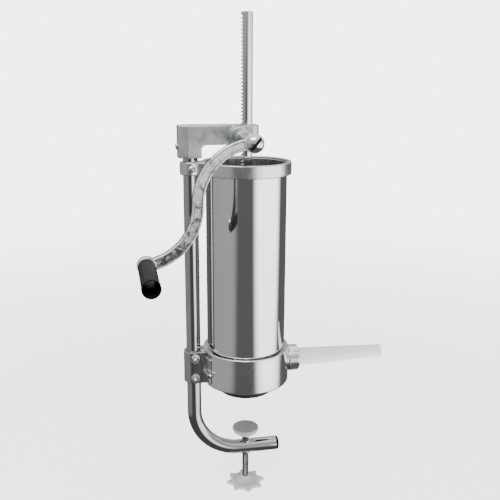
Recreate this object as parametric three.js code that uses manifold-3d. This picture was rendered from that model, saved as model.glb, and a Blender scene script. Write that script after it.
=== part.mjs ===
// A vertical sausage stuffer that clamps to the edge of a table, in millimetres.
//
// A bent steel tube carries everything. Its lower leg reaches under the table top and holds a
// screw clamp. Above the table it carries a cast base cup, a steel cylinder held in the cup and in
// a cast ring, and a cast head. A crank turns a pinion in the head, and the pinion drives a toothed
// rack with the piston at its lower end. The filling tube leaves the base cup through a ring nut.
//
// Origin: the centre of the foot's underside, on the cylinder's axis. +X points from the post to
// the filling tube, -Y points to the crank's side, and +Z is up.

import * as THREE from 'three';
import { mergeVertices } from 'three/addons/utils/BufferGeometryUtils.js';
import Module from 'manifold-3d';

const wasm = await Module();
wasm.setup();

// ---------------------------------------------------------------- driving dimensions

const GAP = 0.3;                 // clearance between neighbouring solids
const BIG_SIDES = 36;            // facets of a large round part
const MID_SIDES = 20;
const SMALL_SIDES = 12;

// bent tube
const TUBE_RADIUS = 10;
const TUBE_WALL = 1.6;
const POST_X = -75.5;
const POST_TOP = 372;
const BEND_RADIUS = 66;
const BEND_STEPS = 9;
const LEG_Z = -96;
const LEG_END_X = 46;

// base cup and foot
const FOOT_RADIUS = 39;
const CUP_RADIUS = 61;
const CUP_BOTTOM = 15.8;
const CUP_TOP = 66.5;
const CUP_FLOOR = 24;
const BOWL_RADIUS = 50;
const SEAT_Z = 57.5;             // ledge on which the cylinder's gasket lies
const GASKET_THICKNESS = 1.5;

// cylinder and its ring
const CYLINDER_RADIUS = 55;
const CYLINDER_WALL = 1;
const CYLINDER_BOTTOM = SEAT_Z + GASKET_THICKNESS + 2 * GAP;
const CYLINDER_TOP = 327.5;
const RING_RADIUS = 61;
const RING_BOTTOM = 313.5;
const RING_TOP = 330.5;
const BLOCK_RADIUS = 14.2;       // clamp block round the post
const POST_HOLE = TUBE_RADIUS + GAP + 0.1;

// saddle that ties the cup to the post
const SADDLE_PLATE = 3.4;
const SADDLE_BOTTOM = 18;
const SADDLE_TOP = 64.5;
const SADDLE_BOLT_HEIGHTS = [26, 56];
const BOLT_RADIUS = 3;
const BOLT_TAIL = -24;
const NUT_HEIGHT = 5;
const NUT_CORNER_RADIUS = 5.7;
const LOCKING_PIN_RADIUS = 1.6;
const LOCKING_PIN_Z = 37;

// spout
const SPOUT_Z = 41;
const SPOUT_BORE = 11;
const SPOUT_THREAD_RADIUS = 15.5;
const SPOUT_END_X = 67.6;
const NUT_RADIUS = 18.8;
const NUT_START_X = 62;
const NUT_END_X = 76.6;
const TUBE_BIG_RADIUS = 13;
const TUBE_SMALL_RADIUS = 8.8;
const TUBE_TIP_X = 206;
const FILLING_WALL = 1.4;

// head
const HEAD_BOTTOM = 336;
const HEAD_TOP = 378.3;
const ARM_BOTTOM = 353;
const HEAD_LEFT = -92;
const HEAD_RIGHT = 15.4;
const HEAD_HALF_WIDTH = 15;
const BEARING_RADIUS = 14;
const BEARING_FRONT = -25;

// gear train: module, tooth count and the rack's own sizes
const GEAR_MODULE = 1.5;
const PINION_TEETH = 10;
const PRESSURE_ANGLE = THREE.MathUtils.degToRad(20);
const PITCH_RADIUS = GEAR_MODULE * PINION_TEETH / 2;
const RACK_PITCH = Math.PI * GEAR_MODULE;
const RACK_RADIUS = 8;
const RACK_PITCH_LINE_X = -5.8;
const RACK_ADDENDUM = 1.2;
const RACK_DEDENDUM = 2;
const TOOTH_PLAY = 0.18;         // taken off each flank of a pinion tooth
const SHAFT_X = RACK_PITCH_LINE_X - PITCH_RADIUS;
const SHAFT_Z = 364;
const JOURNAL_RADIUS = 6;
const BUSH_RADIUS = 8.3;
const SHAFT_RADIUS = 8.8;
const PINION_HALF_WIDTH = 8;
const CHAMBER_HALF_WIDTH = 8.6;

// rack and piston, with the piston part of the way down the cylinder
const RACK_TOP = 520;
const PISTON_BOTTOM = 184;
const PISTON_TOP = 201;
const PISTON_RADIUS = 53;
const SPIGOT_RADIUS = 4.8;

// crank
const ARM_MIDDLE_Y = -111;
const ARM_THICKNESS = 9;
const ARM_WIDTH = 15.2;
const HUB_RADIUS = 11.5;
const HUB_BACK = -104.3;
const HUB_FRONT = -118;
const EYE_X = -142.5;
const EYE_Z = 222;
const EYE_RADIUS = 11.5;
const BEND_X = -80.2;            // where the arm's two bends meet
const BEND_Z = 293;
const GRIP_START = -118.6;
const GRIP_END = -206;
const GRIP_RADIUS = 10.8;

// table clamp
const SPINDLE_RADIUS = 4.8;
const PAD_TOP = -64;
const PAD_RADIUS = 19;
const PAD_HEIGHT = 13.5;
const KNOB_Z = -155.5;
const KNOB_THICKNESS = 4.8;
const KNOB_HUB_HEIGHT = 10;
const KNOB_LOBES = 8;
const KNOB_DISC_RADIUS = 23.3;
const KNOB_LOBE_RADIUS = 2.9;
const KNOB_LOBE_CENTRE = 25.4;

// ---------------------------------------------------------------- materials

function finish(color, roughness, metalness) {
  return new THREE.MeshStandardMaterial({ color, roughness, metalness });
}

const chrome = finish(0xd8dadc, 0.08, 1);
const steel = finish(0xc4c6c8, 0.25, 1);
const polishedAluminium = finish(0xc9cac6, 0.15, 1);
const castAluminium = finish(0xb4b4ae, 0.45, 0.9);
const bronze = finish(0x9a7038, 0.35, 1);
const blackPlastic = finish(0x141414, 0.45, 0);
const blackRubber = finish(0x0c0c0c, 0.8, 0);
const greyPlastic = finish(0xb8bab4, 0.55, 0);
const whitePlastic = finish(0xeeeeea, 0.4, 0);
const silicone = finish(0xd9dadb, 0.6, 0);

// ---------------------------------------------------------------- solids

// Leaves only merged positions, drops collapsed triangles and turns the faces outward.
function clean(geometry) {
  const bare = geometry.clone();
  bare.deleteAttribute('normal');
  bare.deleteAttribute('uv');
  const merged = mergeVertices(bare, 1e-4);
  const position = merged.attributes.position;
  const corners = [new THREE.Vector3(), new THREE.Vector3(), new THREE.Vector3()];
  const index = [];
  let volume = 0;
  for (let i = 0; i < merged.index.count; i += 3) {
    const ids = [0, 1, 2].map((k) => merged.index.getX(i + k));
    if (new Set(ids).size === 3) {
      index.push(...ids);
      ids.forEach((id, k) => corners[k].fromBufferAttribute(position, id));
      volume += corners[0].dot(corners[1].clone().cross(corners[2]));
    }
  }
  if (volume < 0) {
    index.reverse();
  }
  merged.setIndex(index);
  return merged;
}

function toManifold(geometry) {
  const tidy = clean(geometry);
  const vertProperties = new Float32Array(tidy.attributes.position.array);
  const triVerts = new Uint32Array(tidy.index.array);
  return new wasm.Manifold(new wasm.Mesh({ numProp: 3, vertProperties, triVerts }));
}

function fromManifold(body) {
  const mesh = body.getMesh();
  const geometry = new THREE.BufferGeometry();
  geometry.setAttribute('position', new THREE.BufferAttribute(mesh.vertProperties, 3));
  geometry.setIndex(new THREE.BufferAttribute(mesh.triVerts, 1));
  return geometry;
}

function combine(first, others, operation) {
  let body = toManifold(first);
  for (const other of others) {
    body = body[operation](toManifold(other));
  }
  return fromManifold(body);
}

const join = (first, ...others) => combine(first, others, 'add');
const cut = (first, ...others) => combine(first, others, 'subtract');
const common = (first, ...others) => combine(first, others, 'intersect');

// A round body about Z from [radius, height] pairs that start and end on the axis or close.
function lathe(profile, sides = BIG_SIDES) {
  const points = profile.map(([radius, height]) => new THREE.Vector2(radius, height));
  return new THREE.LatheGeometry(points, sides).rotateX(Math.PI / 2);
}

// The same about Y, with heights measured along +Y.
function latheY(profile, sides = MID_SIDES) {
  const points = profile.map(([radius, height]) => new THREE.Vector2(radius, height));
  return new THREE.LatheGeometry(points, sides);
}

// The same about X, with heights measured along +X.
function latheX(profile, sides = MID_SIDES) {
  return latheY(profile, sides).rotateZ(-Math.PI / 2);
}

// A ring's closed profile between two radii and two heights.
function ringProfile(inner, outer, low, high) {
  return [[inner, low], [outer, low], [outer, high], [inner, high], [inner, low]];
}

function discProfile(radius, low, high) {
  return [[0, low], [radius, low], [radius, high], [0, high]];
}

const rodZ = (radius, low, high, sides = MID_SIDES) => lathe(discProfile(radius, low, high), sides);
const rodY = (radius, low, high, sides = MID_SIDES) => latheY(discProfile(radius, low, high), sides);
const rodX = (radius, low, high, sides = MID_SIDES) => latheX(discProfile(radius, low, high), sides);

function block([x0, x1], [y0, y1], [z0, z1]) {
  const box = new THREE.BoxGeometry(x1 - x0, y1 - y0, z1 - z0);
  return box.translate((x0 + x1) / 2, (y0 + y1) / 2, (z0 + z1) / 2);
}

// An outline drawn in the XY plane, extruded up from low to high.
function extrudeZ(shape, low, high, curveSegments = 12) {
  const options = { depth: high - low, bevelEnabled: false, curveSegments };
  return new THREE.ExtrudeGeometry(shape, options).translate(0, 0, low);
}

// An outline drawn in the XZ plane (x right, z up), extruded along Y from low to high.
function extrudeY(shape, low, high, curveSegments = 12) {
  const options = { depth: high - low, bevelEnabled: false, curveSegments };
  return new THREE.ExtrudeGeometry(shape, options).rotateX(Math.PI / 2).translate(0, high, 0);
}

function polygon(points) {
  return new THREE.Shape(points.map(([x, y]) => new THREE.Vector2(x, y)));
}

function part(name, geometry, material) {
  const solid = clean(geometry);
  solid.computeVertexNormals();
  const mesh = new THREE.Mesh(solid, material);
  mesh.name = name;
  return mesh;
}

function groupAt(x, y, z, ...members) {
  const group = new THREE.Group();
  group.position.set(x, y, z);
  group.add(...members);
  return group;
}

// ---------------------------------------------------------------- bent tube

// The tube's centre line: down the post, round the bend and along the leg, with one station at
// each end of a straight stretch and evenly spaced stations round the bend.
class BentLine extends THREE.Curve {
  getPoint(t) {
    const station = t * (BEND_STEPS + 2);
    const centreX = POST_X + BEND_RADIUS;
    const centreZ = LEG_Z + BEND_RADIUS;
    if (station <= 1) {
      return new THREE.Vector3(POST_X, 0, THREE.MathUtils.lerp(POST_TOP, centreZ, station));
    }
    if (station >= BEND_STEPS + 1) {
      const x = THREE.MathUtils.lerp(centreX, LEG_END_X, station - BEND_STEPS - 1);
      return new THREE.Vector3(x, 0, LEG_Z);
    }
    const angle = Math.PI * (1 + (station - 1) / (2 * BEND_STEPS));
    const x = centreX + BEND_RADIUS * Math.cos(angle);
    const z = centreZ + BEND_RADIUS * Math.sin(angle);
    return new THREE.Vector3(x, 0, z);
  }

  getPointAt(t) {
    return this.getPoint(t);
  }

  getTangentAt(t) {
    return this.getTangent(t);
  }
}

function frameTube() {
  const section = new THREE.Shape().absarc(0, 0, TUBE_RADIUS, 0, 2 * Math.PI, false);
  section.holes.push(new THREE.Path().absarc(0, 0, TUBE_RADIUS - TUBE_WALL, 0, 2 * Math.PI, true));
  const options = { steps: BEND_STEPS + 2, curveSegments: 9, extrudePath: new BentLine() };
  const tube = new THREE.ExtrudeGeometry(section, options);
  const bolts = SADDLE_BOLT_HEIGHTS.map((z) => (
    rodY(BOLT_RADIUS + GAP, -20, 20, SMALL_SIDES).translate(POST_X, 0, z)
  ));
  const sleeveHole = rodZ(CLAMP_SLEEVE_RADIUS + GAP, LEG_Z - 20, LEG_Z + 20, SMALL_SIDES);
  return part('frame_tube', cut(tube, ...bolts, sleeveHole), chrome);
}

const CLAMP_SLEEVE_RADIUS = 7;

function legEndPlug() {
  const inside = TUBE_RADIUS - TUBE_WALL - GAP;
  const rim = TUBE_RADIUS;
  const profile = [[0, -12], [inside, -12], [inside, GAP], [rim, GAP], [rim, 2], [7.5, 3.5], [0, 3.5]];
  const plug = part('leg_end_plug', latheX(profile, MID_SIDES), blackPlastic);
  plug.position.set(LEG_END_X, 0, LEG_Z);
  return plug;
}

// A tapped sleeve that crosses the leg and carries the clamp spindle.
function clampSleeve() {
  const profile = ringProfile(SPINDLE_RADIUS + GAP, CLAMP_SLEEVE_RADIUS, -TUBE_RADIUS, TUBE_RADIUS);
  const sleeve = part('clamp_sleeve', lathe(profile, SMALL_SIDES), steel);
  sleeve.position.set(0, 0, LEG_Z);
  return sleeve;
}

// ---------------------------------------------------------------- base

function arcPoints(centreR, centreZ, radius, from, to, steps) {
  return Array.from({ length: steps + 1 }, (_, i) => {
    const angle = THREE.MathUtils.degToRad(THREE.MathUtils.lerp(from, to, i / steps));
    return [centreR + radius * Math.cos(angle), centreZ + radius * Math.sin(angle)];
  });
}

const LUG_HALF_WIDTH = 10.05;
const LUG_FRONT_X = -65.1;

function pinDirection() {
  const skew = THREE.MathUtils.degToRad(19);
  return new THREE.Vector3(Math.sin(skew), -Math.cos(skew), 0);
}

const PIN_START = new THREE.Vector3(-65.4, -7, LOCKING_PIN_Z);
const PIN_LENGTH = 29;

// The locking pin's own space: a rod from its buried end to its rounded tip.
function pinRod(radius, length) {
  const tipRound = radius * 0.6;
  const profile = [[0, 0], [radius, 0], [radius, length - tipRound], [radius - tipRound, length], [0, length]];
  const rod = latheY(profile, 12);
  const turn = new THREE.Quaternion().setFromUnitVectors(new THREE.Vector3(0, 1, 0), pinDirection());
  return rod.applyQuaternion(turn).translate(...PIN_START.toArray());
}

function baseCup() {
  const rimEdge = 1.4;
  const recess = 58.4;
  const ledge = 61.5;
  const profile = [
    [0, CUP_BOTTOM],
    ...arcPoints(CUP_RADIUS - 2.5, CUP_BOTTOM + 2.5, 2.5, -90, 0, 2),
    ...arcPoints(CUP_RADIUS - rimEdge, CUP_TOP - rimEdge, rimEdge, 0, 90, 2),
    [recess, CUP_TOP],
    [recess, ledge],
    [CYLINDER_RADIUS + GAP, ledge],
    [CYLINDER_RADIUS + GAP, SEAT_Z],
    [BOWL_RADIUS, SEAT_Z],
    ...arcPoints(BOWL_RADIUS - 8, CUP_FLOOR + 8, 8, 0, -90, 2),
    [0, CUP_FLOOR],
  ];
  const bowl = lathe(profile);
  const pad = padShell(62.3, 21, 58);
  const lug = block([LUG_FRONT_X, -56], [-LUG_HALF_WIDTH, LUG_HALF_WIDTH], [21, 61.5]);
  const spout = rodX(SPOUT_THREAD_RADIUS, 54, SPOUT_END_X).translate(0, 0, SPOUT_Z);
  const bore = rodX(SPOUT_BORE, 40, SPOUT_END_X + 1).translate(0, 0, SPOUT_Z);
  const footHole = rodZ(STUD_RADIUS + GAP, CUP_BOTTOM - 1, CUP_BOTTOM + 6, SMALL_SIDES);
  const legSlots = [-1, 1].map((side) => block(
    [-70, -54],
    [side * 12.1 - 2.05, side * 12.1 + 2.05],
    [SADDLE_BOTTOM - 1, SADDLE_TOP + 1],
  ));
  const pinHole = pinRod(LOCKING_PIN_RADIUS + GAP, PIN_LENGTH);
  const back = cut(join(pad, lug), ...legSlots);
  const body = cut(join(bowl, back, spout), bore, footHole, pinHole);
  return part('base_cup', body, polishedAluminium);
}

// A shallow pad on the cup's post side, over 27 degrees each way.
function padShell(radius, low, high) {
  const reach = THREE.MathUtils.degToRad(27);
  const outline = new THREE.Shape();
  outline.absarc(0, 0, radius, Math.PI - reach, Math.PI + reach, false);
  outline.absarc(0, 0, CUP_RADIUS - 5, Math.PI + reach, Math.PI - reach, true);
  return extrudeZ(outline, low, high, 8);
}

const STUD_RADIUS = 2.7;
const STUD_BOTTOM = 6;

function baseFoot() {
  const top = CUP_BOTTOM - GAP;
  const hole = STUD_RADIUS + GAP;
  const profile = [
    [0, 0],
    [FOOT_RADIUS - 1, 0],
    [FOOT_RADIUS, 1],
    [FOOT_RADIUS, top],
    [hole, top],
    [hole, STUD_BOTTOM - GAP],
    [0, STUD_BOTTOM - GAP],
  ];
  return part('base_foot', lathe(profile), blackRubber);
}

function footStud() {
  return part('foot_stud', rodZ(STUD_RADIUS, STUD_BOTTOM, CUP_BOTTOM + 5, SMALL_SIDES), steel);
}

// ---------------------------------------------------------------- saddle

// A steel plate bent round the post, its two legs trimmed to the cup's wall.
function postSaddle() {
  const inner = POST_HOLE;
  const outer = inner + SADDLE_PLATE;
  const reach = -POST_X - CUP_RADIUS + 6;
  const outline = new THREE.Shape();
  outline.moveTo(reach, -outer);
  outline.lineTo(reach, -inner);
  outline.absarc(0, 0, inner, 1.5 * Math.PI, 0.5 * Math.PI, true);
  outline.lineTo(reach, inner);
  outline.lineTo(reach, outer);
  outline.absarc(0, 0, outer, 0.5 * Math.PI, 1.5 * Math.PI, false);
  const plate = extrudeZ(outline, SADDLE_BOTTOM, SADDLE_TOP).translate(POST_X, 0, 0);
  const wall = rodZ(CUP_RADIUS + GAP, SADDLE_BOTTOM - 5, SADDLE_TOP + 5, BIG_SIDES);
  const holes = SADDLE_BOLT_HEIGHTS.map((z) => (
    rodY(BOLT_RADIUS + GAP, -20, 20, SMALL_SIDES).translate(POST_X, 0, z)
  ));
  const pinHole = pinRod(LOCKING_PIN_RADIUS + GAP, PIN_LENGTH);
  return part('post_saddle', cut(plate, wall, ...holes, pinHole), steel);
}

function saddleFace() {
  return POST_HOLE + SADDLE_PLATE + GAP;
}

function saddleBolt(label, z) {
  const face = saddleFace();
  const shank = rodY(BOLT_RADIUS, BOLT_TAIL, face + 1, SMALL_SIDES);
  const head = rodY(NUT_CORNER_RADIUS, face, face + 4, 6);
  const bolt = part(`saddle_bolt_${label}`, join(shank, head), steel);
  bolt.position.set(POST_X, 0, z);
  return bolt;
}

function saddleWasher(label, z) {
  const face = -saddleFace();
  const washer = part(
    `saddle_washer_${label}`,
    latheY(ringProfile(BOLT_RADIUS + GAP, 6.3, face - 1.2, face), SMALL_SIDES),
    steel,
  );
  washer.position.set(POST_X, 0, z);
  return washer;
}

function saddleNut(label, z) {
  const back = -saddleFace() - 1.2 - GAP;
  const body = rodY(NUT_CORNER_RADIUS, back - NUT_HEIGHT, back, 6);
  const hole = rodY(BOLT_RADIUS + GAP, back - NUT_HEIGHT - 1, back + 1, SMALL_SIDES);
  const nut = part(`saddle_nut_${label}`, cut(body, hole), steel);
  nut.position.set(POST_X, 0, z);
  return nut;
}

function saddleFasteners() {
  const labels = ['lower', 'upper'];
  return SADDLE_BOLT_HEIGHTS.flatMap((z, i) => (
    [saddleBolt(labels[i], z), saddleWasher(labels[i], z), saddleNut(labels[i], z)]
  ));
}

function lockingPin() {
  return part('locking_pin', pinRod(LOCKING_PIN_RADIUS, PIN_LENGTH - 1), steel);
}

// ---------------------------------------------------------------- cylinder and ring

function cylinderGasket() {
  const profile = ringProfile(
    BOWL_RADIUS + 0.5,
    CYLINDER_RADIUS - GAP,
    SEAT_Z + GAP,
    SEAT_Z + GAP + GASKET_THICKNESS,
  );
  return part('cylinder_gasket', lathe(profile), silicone);
}

function cylinder() {
  const inner = CYLINDER_RADIUS - CYLINDER_WALL;
  const profile = ringProfile(inner, CYLINDER_RADIUS, CYLINDER_BOTTOM, CYLINDER_TOP);
  return part('cylinder', lathe(profile), chrome);
}

function ringHolder() {
  const edge = 1.2;
  const inner = CYLINDER_RADIUS + GAP;
  const profile = [
    [inner, RING_BOTTOM],
    [RING_RADIUS - edge, RING_BOTTOM],
    [RING_RADIUS, RING_BOTTOM + edge],
    [RING_RADIUS, RING_TOP - edge],
    [RING_RADIUS - edge, RING_TOP],
    [inner, RING_TOP],
    [inner, RING_BOTTOM],
  ];
  const ring = lathe(profile);
  const hug = rodZ(BLOCK_RADIUS, RING_BOTTOM + 0.5, RING_TOP - 0.5, MID_SIDES).translate(POST_X, 0, 0);
  const neck = block([POST_X, -CYLINDER_RADIUS - 2], [-12.5, 12.5], [RING_BOTTOM + 1, RING_TOP - 1]);
  const postHole = rodZ(POST_HOLE, RING_BOTTOM - 5, RING_TOP + 5).translate(POST_X, 0, 0);
  const cylinderHole = rodZ(inner, RING_BOTTOM - 5, RING_TOP + 5, BIG_SIDES);
  const screwHole = rodY(2.7, -BLOCK_RADIUS - 1, 0, SMALL_SIDES).translate(POST_X, 0, RING_SCREW_Z);
  const body = cut(join(ring, hug, neck), postHole, cylinderHole, screwHole);
  return part('ring_holder', body, castAluminium);
}

const RING_SCREW_Z = 322;

// A cross-slotted pan head screw along Y, its head's underside at y = 0 and its tip at +length.
function panScrewY(radius, shankRadius, length) {
  const height = radius * 0.62;
  const dome = [
    [0, -height],
    [radius * 0.55, -height * 0.93],
    [radius * 0.9, -height * 0.55],
    [radius, 0],
    [shankRadius, 0],
    [shankRadius, length],
    [0, length],
  ];
  const slot = radius * 0.62;
  const thin = radius * 0.13;
  const depth = height * 0.55;
  const across = block([-slot, slot], [-height - 1, -height + depth], [-thin, thin]);
  const upright = block([-thin, thin], [-height - 1, -height + depth], [-slot, slot]);
  return cut(latheY(dome, SMALL_SIDES), across, upright);
}

function ringScrew() {
  const screw = part('ring_clamp_screw', panScrewY(4.6, 2.4, BLOCK_RADIUS - TUBE_RADIUS), steel);
  screw.position.set(POST_X, -BLOCK_RADIUS - GAP, RING_SCREW_Z);
  return screw;
}

// ---------------------------------------------------------------- head

function headSideOutline() {
  const corner = 6;
  const outline = new THREE.Shape();
  outline.moveTo(HEAD_LEFT, HEAD_BOTTOM);
  outline.lineTo(-61.5, HEAD_BOTTOM);
  outline.lineTo(-61.5, ARM_BOTTOM - corner);
  outline.absarc(-61.5 + corner, ARM_BOTTOM - corner, corner, Math.PI, Math.PI / 2, true);
  outline.lineTo(HEAD_RIGHT, ARM_BOTTOM);
  outline.lineTo(HEAD_RIGHT, HEAD_TOP - 1.5);
  outline.lineTo(HEAD_RIGHT - 1.5, HEAD_TOP);
  outline.lineTo(HEAD_LEFT + 1.5, HEAD_TOP);
  outline.lineTo(HEAD_LEFT, HEAD_TOP - 1.5);
  return outline;
}

function headPlanOutline() {
  const chamferX = 11.5;
  const chamferY = 5;
  const round = 10;
  const half = HEAD_HALF_WIDTH;
  const outline = new THREE.Shape();
  outline.moveTo(HEAD_LEFT, -half + chamferY);
  outline.lineTo(HEAD_LEFT + chamferX, -half);
  outline.absarc(HEAD_RIGHT - round, -half + round, round, 1.5 * Math.PI, 2 * Math.PI, false);
  outline.absarc(HEAD_RIGHT - round, half - round, round, 0, 0.5 * Math.PI, false);
  outline.lineTo(HEAD_LEFT + chamferX, half);
  outline.lineTo(HEAD_LEFT, half - chamferY);
  return outline;
}

const HEAD_SCREW_Z = 351;
const CAP_SCREW_REACH = 11.9;
const CAP_RADIUS = 14;

function headCasting() {
  const half = HEAD_HALF_WIDTH;
  const arm = common(
    extrudeY(headSideOutline(), -half, half, 4),
    extrudeZ(headPlanOutline(), HEAD_BOTTOM - 5, HEAD_TOP + 5, 5),
  );
  const bearing = rodY(BEARING_RADIUS, BEARING_FRONT, half - 0.2, MID_SIDES).translate(SHAFT_X, 0, SHAFT_Z);
  const socket = rodZ(POST_HOLE, HEAD_BOTTOM - 1, POST_TOP + GAP).translate(POST_X, 0, 0);
  const rackHole = rodZ(RACK_RADIUS + 0.4, ARM_BOTTOM - 10, HEAD_TOP + 1, MID_SIDES);
  const bushBore = rodY(BUSH_RADIUS + GAP, BEARING_FRONT - 1, 0, MID_SIDES).translate(SHAFT_X, 0, SHAFT_Z);
  const chamber = rodY(CHAMBER_RADIUS, -CHAMBER_HALF_WIDTH, half + 1, MID_SIDES).translate(SHAFT_X, 0, SHAFT_Z);
  const screwHole = rodX(2.7, HEAD_LEFT - 1, POST_X - 8, SMALL_SIDES).translate(0, 0, HEAD_SCREW_Z);
  const capHoles = capScrewPlaces().map((x) => rodY(1.7, 9.5, half + 1, 12).translate(x, 0, SHAFT_Z));
  const body = cut(join(arm, bearing), socket, rackHole, bushBore, chamber, screwHole, ...capHoles);
  return part('head_casting', body, castAluminium);
}

const CHAMBER_RADIUS = 10.1;

function capScrewPlaces() {
  return [SHAFT_X - CAP_SCREW_REACH, SHAFT_X + CAP_SCREW_REACH];
}

function headScrew() {
  const screw = part('head_clamp_screw', panScrewY(4.6, 2.4, 6.3).rotateZ(-Math.PI / 2), steel);
  screw.position.set(HEAD_LEFT - GAP, 0, HEAD_SCREW_Z);
  return screw;
}

// The rear cap closes the pinion chamber and holds the rear bush.
function bearingCap() {
  const back = HEAD_HALF_WIDTH + GAP;
  const spigot = CHAMBER_RADIUS - GAP;
  const bore = BUSH_RADIUS + GAP;
  const profile = [
    [0, back],
    [bore, back],
    [bore, CHAMBER_HALF_WIDTH + 0.6],
    [spigot, CHAMBER_HALF_WIDTH + 0.6],
    [spigot, back],
    [CAP_RADIUS, back],
    [CAP_RADIUS, back + 2.4],
    [CAP_RADIUS - 1, back + 3.2],
    [0, back + 3.2],
  ];
  const holes = [-1, 1].map((side) => rodY(1.7, 10, 20, 12).translate(side * CAP_SCREW_REACH, 0, 0));
  const cap = part('bearing_cap', cut(latheY(profile), ...holes), castAluminium);
  cap.position.set(SHAFT_X, 0, SHAFT_Z);
  return cap;
}

function capScrews() {
  return capScrewPlaces().map((x, i) => {
    const screw = part(`cap_screw_${i + 1}`, panScrewY(2.9, 1.4, 8).rotateZ(Math.PI), steel);
    screw.position.set(x, HEAD_HALF_WIDTH + GAP + 3.2 + GAP, SHAFT_Z);
    return screw;
  });
}

function bush(name, journal, low, high) {
  const profile = ringProfile(journal + GAP, BUSH_RADIUS, low, high);
  const mesh = part(name, latheY(profile), bronze);
  mesh.position.set(SHAFT_X, 0, SHAFT_Z);
  return mesh;
}

// ---------------------------------------------------------------- gear train

const involute = (angle) => Math.tan(angle) - angle;

// Half of a pinion tooth's angle at a radius. Below the base circle the tooth narrows to its root.
function halfToothAngle(radius) {
  const base = PITCH_RADIUS * Math.cos(PRESSURE_ANGLE);
  const atPitch = Math.PI / (2 * PINION_TEETH) + involute(PRESSURE_ANGLE);
  const flank = atPitch - involute(Math.acos(Math.min(1, base / radius))) - TOOTH_PLAY / radius;
  return radius < base ? flank * 0.8 : flank;
}

function pinionGear() {
  const root = PITCH_RADIUS - 1.3 * GEAR_MODULE;
  const tip = PITCH_RADIUS + GEAR_MODULE;
  const rising = [root, 6.4, PITCH_RADIUS, 8.3, tip];
  const points = [];
  for (let tooth = 0; tooth < PINION_TEETH; tooth += 1) {
    const middle = 2 * Math.PI * tooth / PINION_TEETH;
    const flank = rising.map((radius) => [radius, -halfToothAngle(radius)]);
    const back = rising.toReversed().map((radius) => [radius, halfToothAngle(radius)]);
    for (const [radius, offset] of [...flank, ...back]) {
      points.push([radius * Math.cos(middle + offset), radius * Math.sin(middle + offset)]);
    }
  }
  const wheel = extrudeY(polygon(points), -PINION_HALF_WIDTH, PINION_HALF_WIDTH);
  const bore = rodY(PINION_SEAT_RADIUS + GAP, -10, 10, SMALL_SIDES);
  return part('pinion_gear', cut(wheel, bore), steel);
}

const PINION_SEAT_RADIUS = 3.6;

// The shaft is stepped, so that the gear slides on from the rear before the cap is fitted.
function pinionShaft() {
  const profile = [
    [0, 14.6],
    [PINION_SEAT_RADIUS, 14.6],
    [PINION_SEAT_RADIUS, -8.9],
    [JOURNAL_RADIUS, -8.9],
    [JOURNAL_RADIUS, BEARING_FRONT - 0.4],
    [SHAFT_RADIUS, BEARING_FRONT - 0.4],
    [SHAFT_RADIUS, BEARING_FRONT - 14],
    [SHAFT_RADIUS - 0.7, BEARING_FRONT - 14.7],
    [SHAFT_RADIUS - 0.7, HUB_BACK + GAP],
    [SHAFT_SEAT_RADIUS, HUB_BACK + GAP],
    [SHAFT_SEAT_RADIUS, HUB_FRONT + 0.8],
    [CAP_SHANK_RADIUS + GAP, HUB_FRONT + 0.8],
    [CAP_SHANK_RADIUS + GAP, HUB_FRONT + 14],
    [0, HUB_FRONT + 14],
  ];
  return part('pinion_shaft', latheY(profile), chrome);
}

const SHAFT_SEAT_RADIUS = 6.4;
const CAP_SHANK_RADIUS = 2.4;

function rack() {
  const spigotBottom = PISTON_BOTTOM + 2;
  const rod = lathe([
    [0, spigotBottom],
    [SPIGOT_RADIUS, spigotBottom],
    [SPIGOT_RADIUS, PISTON_TOP + GAP],
    [RACK_RADIUS, PISTON_TOP + GAP],
    [RACK_RADIUS, RACK_TOP - 0.6],
    [RACK_RADIUS - 0.6, RACK_TOP],
    [0, RACK_TOP],
  ], 16);
  const tipX = RACK_PITCH_LINE_X - RACK_ADDENDUM;
  const rootX = RACK_PITCH_LINE_X + RACK_DEDENDUM;
  const toothedBottom = PISTON_TOP + 4;
  const flat = block([-RACK_RADIUS - 1, tipX], [-RACK_RADIUS, RACK_RADIUS], [toothedBottom, RACK_TOP + 1]);
  const slope = Math.tan(PRESSURE_ANGLE);
  const halfAt = (x) => RACK_PITCH / 4 - (x - RACK_PITCH_LINE_X) * slope;
  const outside = tipX - 1;
  const spaces = [];
  const first = Math.ceil((toothedBottom + 3 - SHAFT_Z) / RACK_PITCH);
  const last = Math.floor((RACK_TOP - 2.5 - SHAFT_Z) / RACK_PITCH);
  for (let k = first; k <= last; k += 1) {
    const z = SHAFT_Z + k * RACK_PITCH;
    const space = polygon([
      [outside, z - halfAt(outside)],
      [rootX, z - halfAt(rootX)],
      [rootX, z + halfAt(rootX)],
      [outside, z + halfAt(outside)],
    ]);
    spaces.push(extrudeY(space, -RACK_RADIUS, RACK_RADIUS));
  }
  return part('rack', cut(rod, flat, ...spaces), chrome);
}

// ---------------------------------------------------------------- piston

function pistonPlate(name, low, high, pocket) {
  const bore = SPIGOT_RADIUS + GAP;
  const edge = 1;
  const profile = [
    [bore, low],
    [PISTON_RADIUS - edge, low],
    [PISTON_RADIUS, low + edge],
    [PISTON_RADIUS, high - edge],
    [PISTON_RADIUS - edge, high],
    [bore, high],
    [bore, low],
  ];
  const plate = lathe(profile);
  const body = pocket ? cut(plate, rodZ(pocket, low - 1, low + 6.4, MID_SIDES)) : plate;
  return part(name, body, whitePlastic);
}

function pistonSeal(low, high) {
  const profile = ringProfile(SPIGOT_RADIUS + GAP, PISTON_RADIUS + 0.7, low, high);
  return part('piston_seal', lathe(profile), silicone);
}

function pistonNut() {
  const body = rodZ(9, PISTON_BOTTOM + 0.5, PISTON_BOTTOM + 6.1, 6);
  const hole = rodZ(SPIGOT_RADIUS + GAP, PISTON_BOTTOM, PISTON_BOTTOM + 7, SMALL_SIDES);
  return part('piston_nut', cut(body, hole), steel);
}

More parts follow.
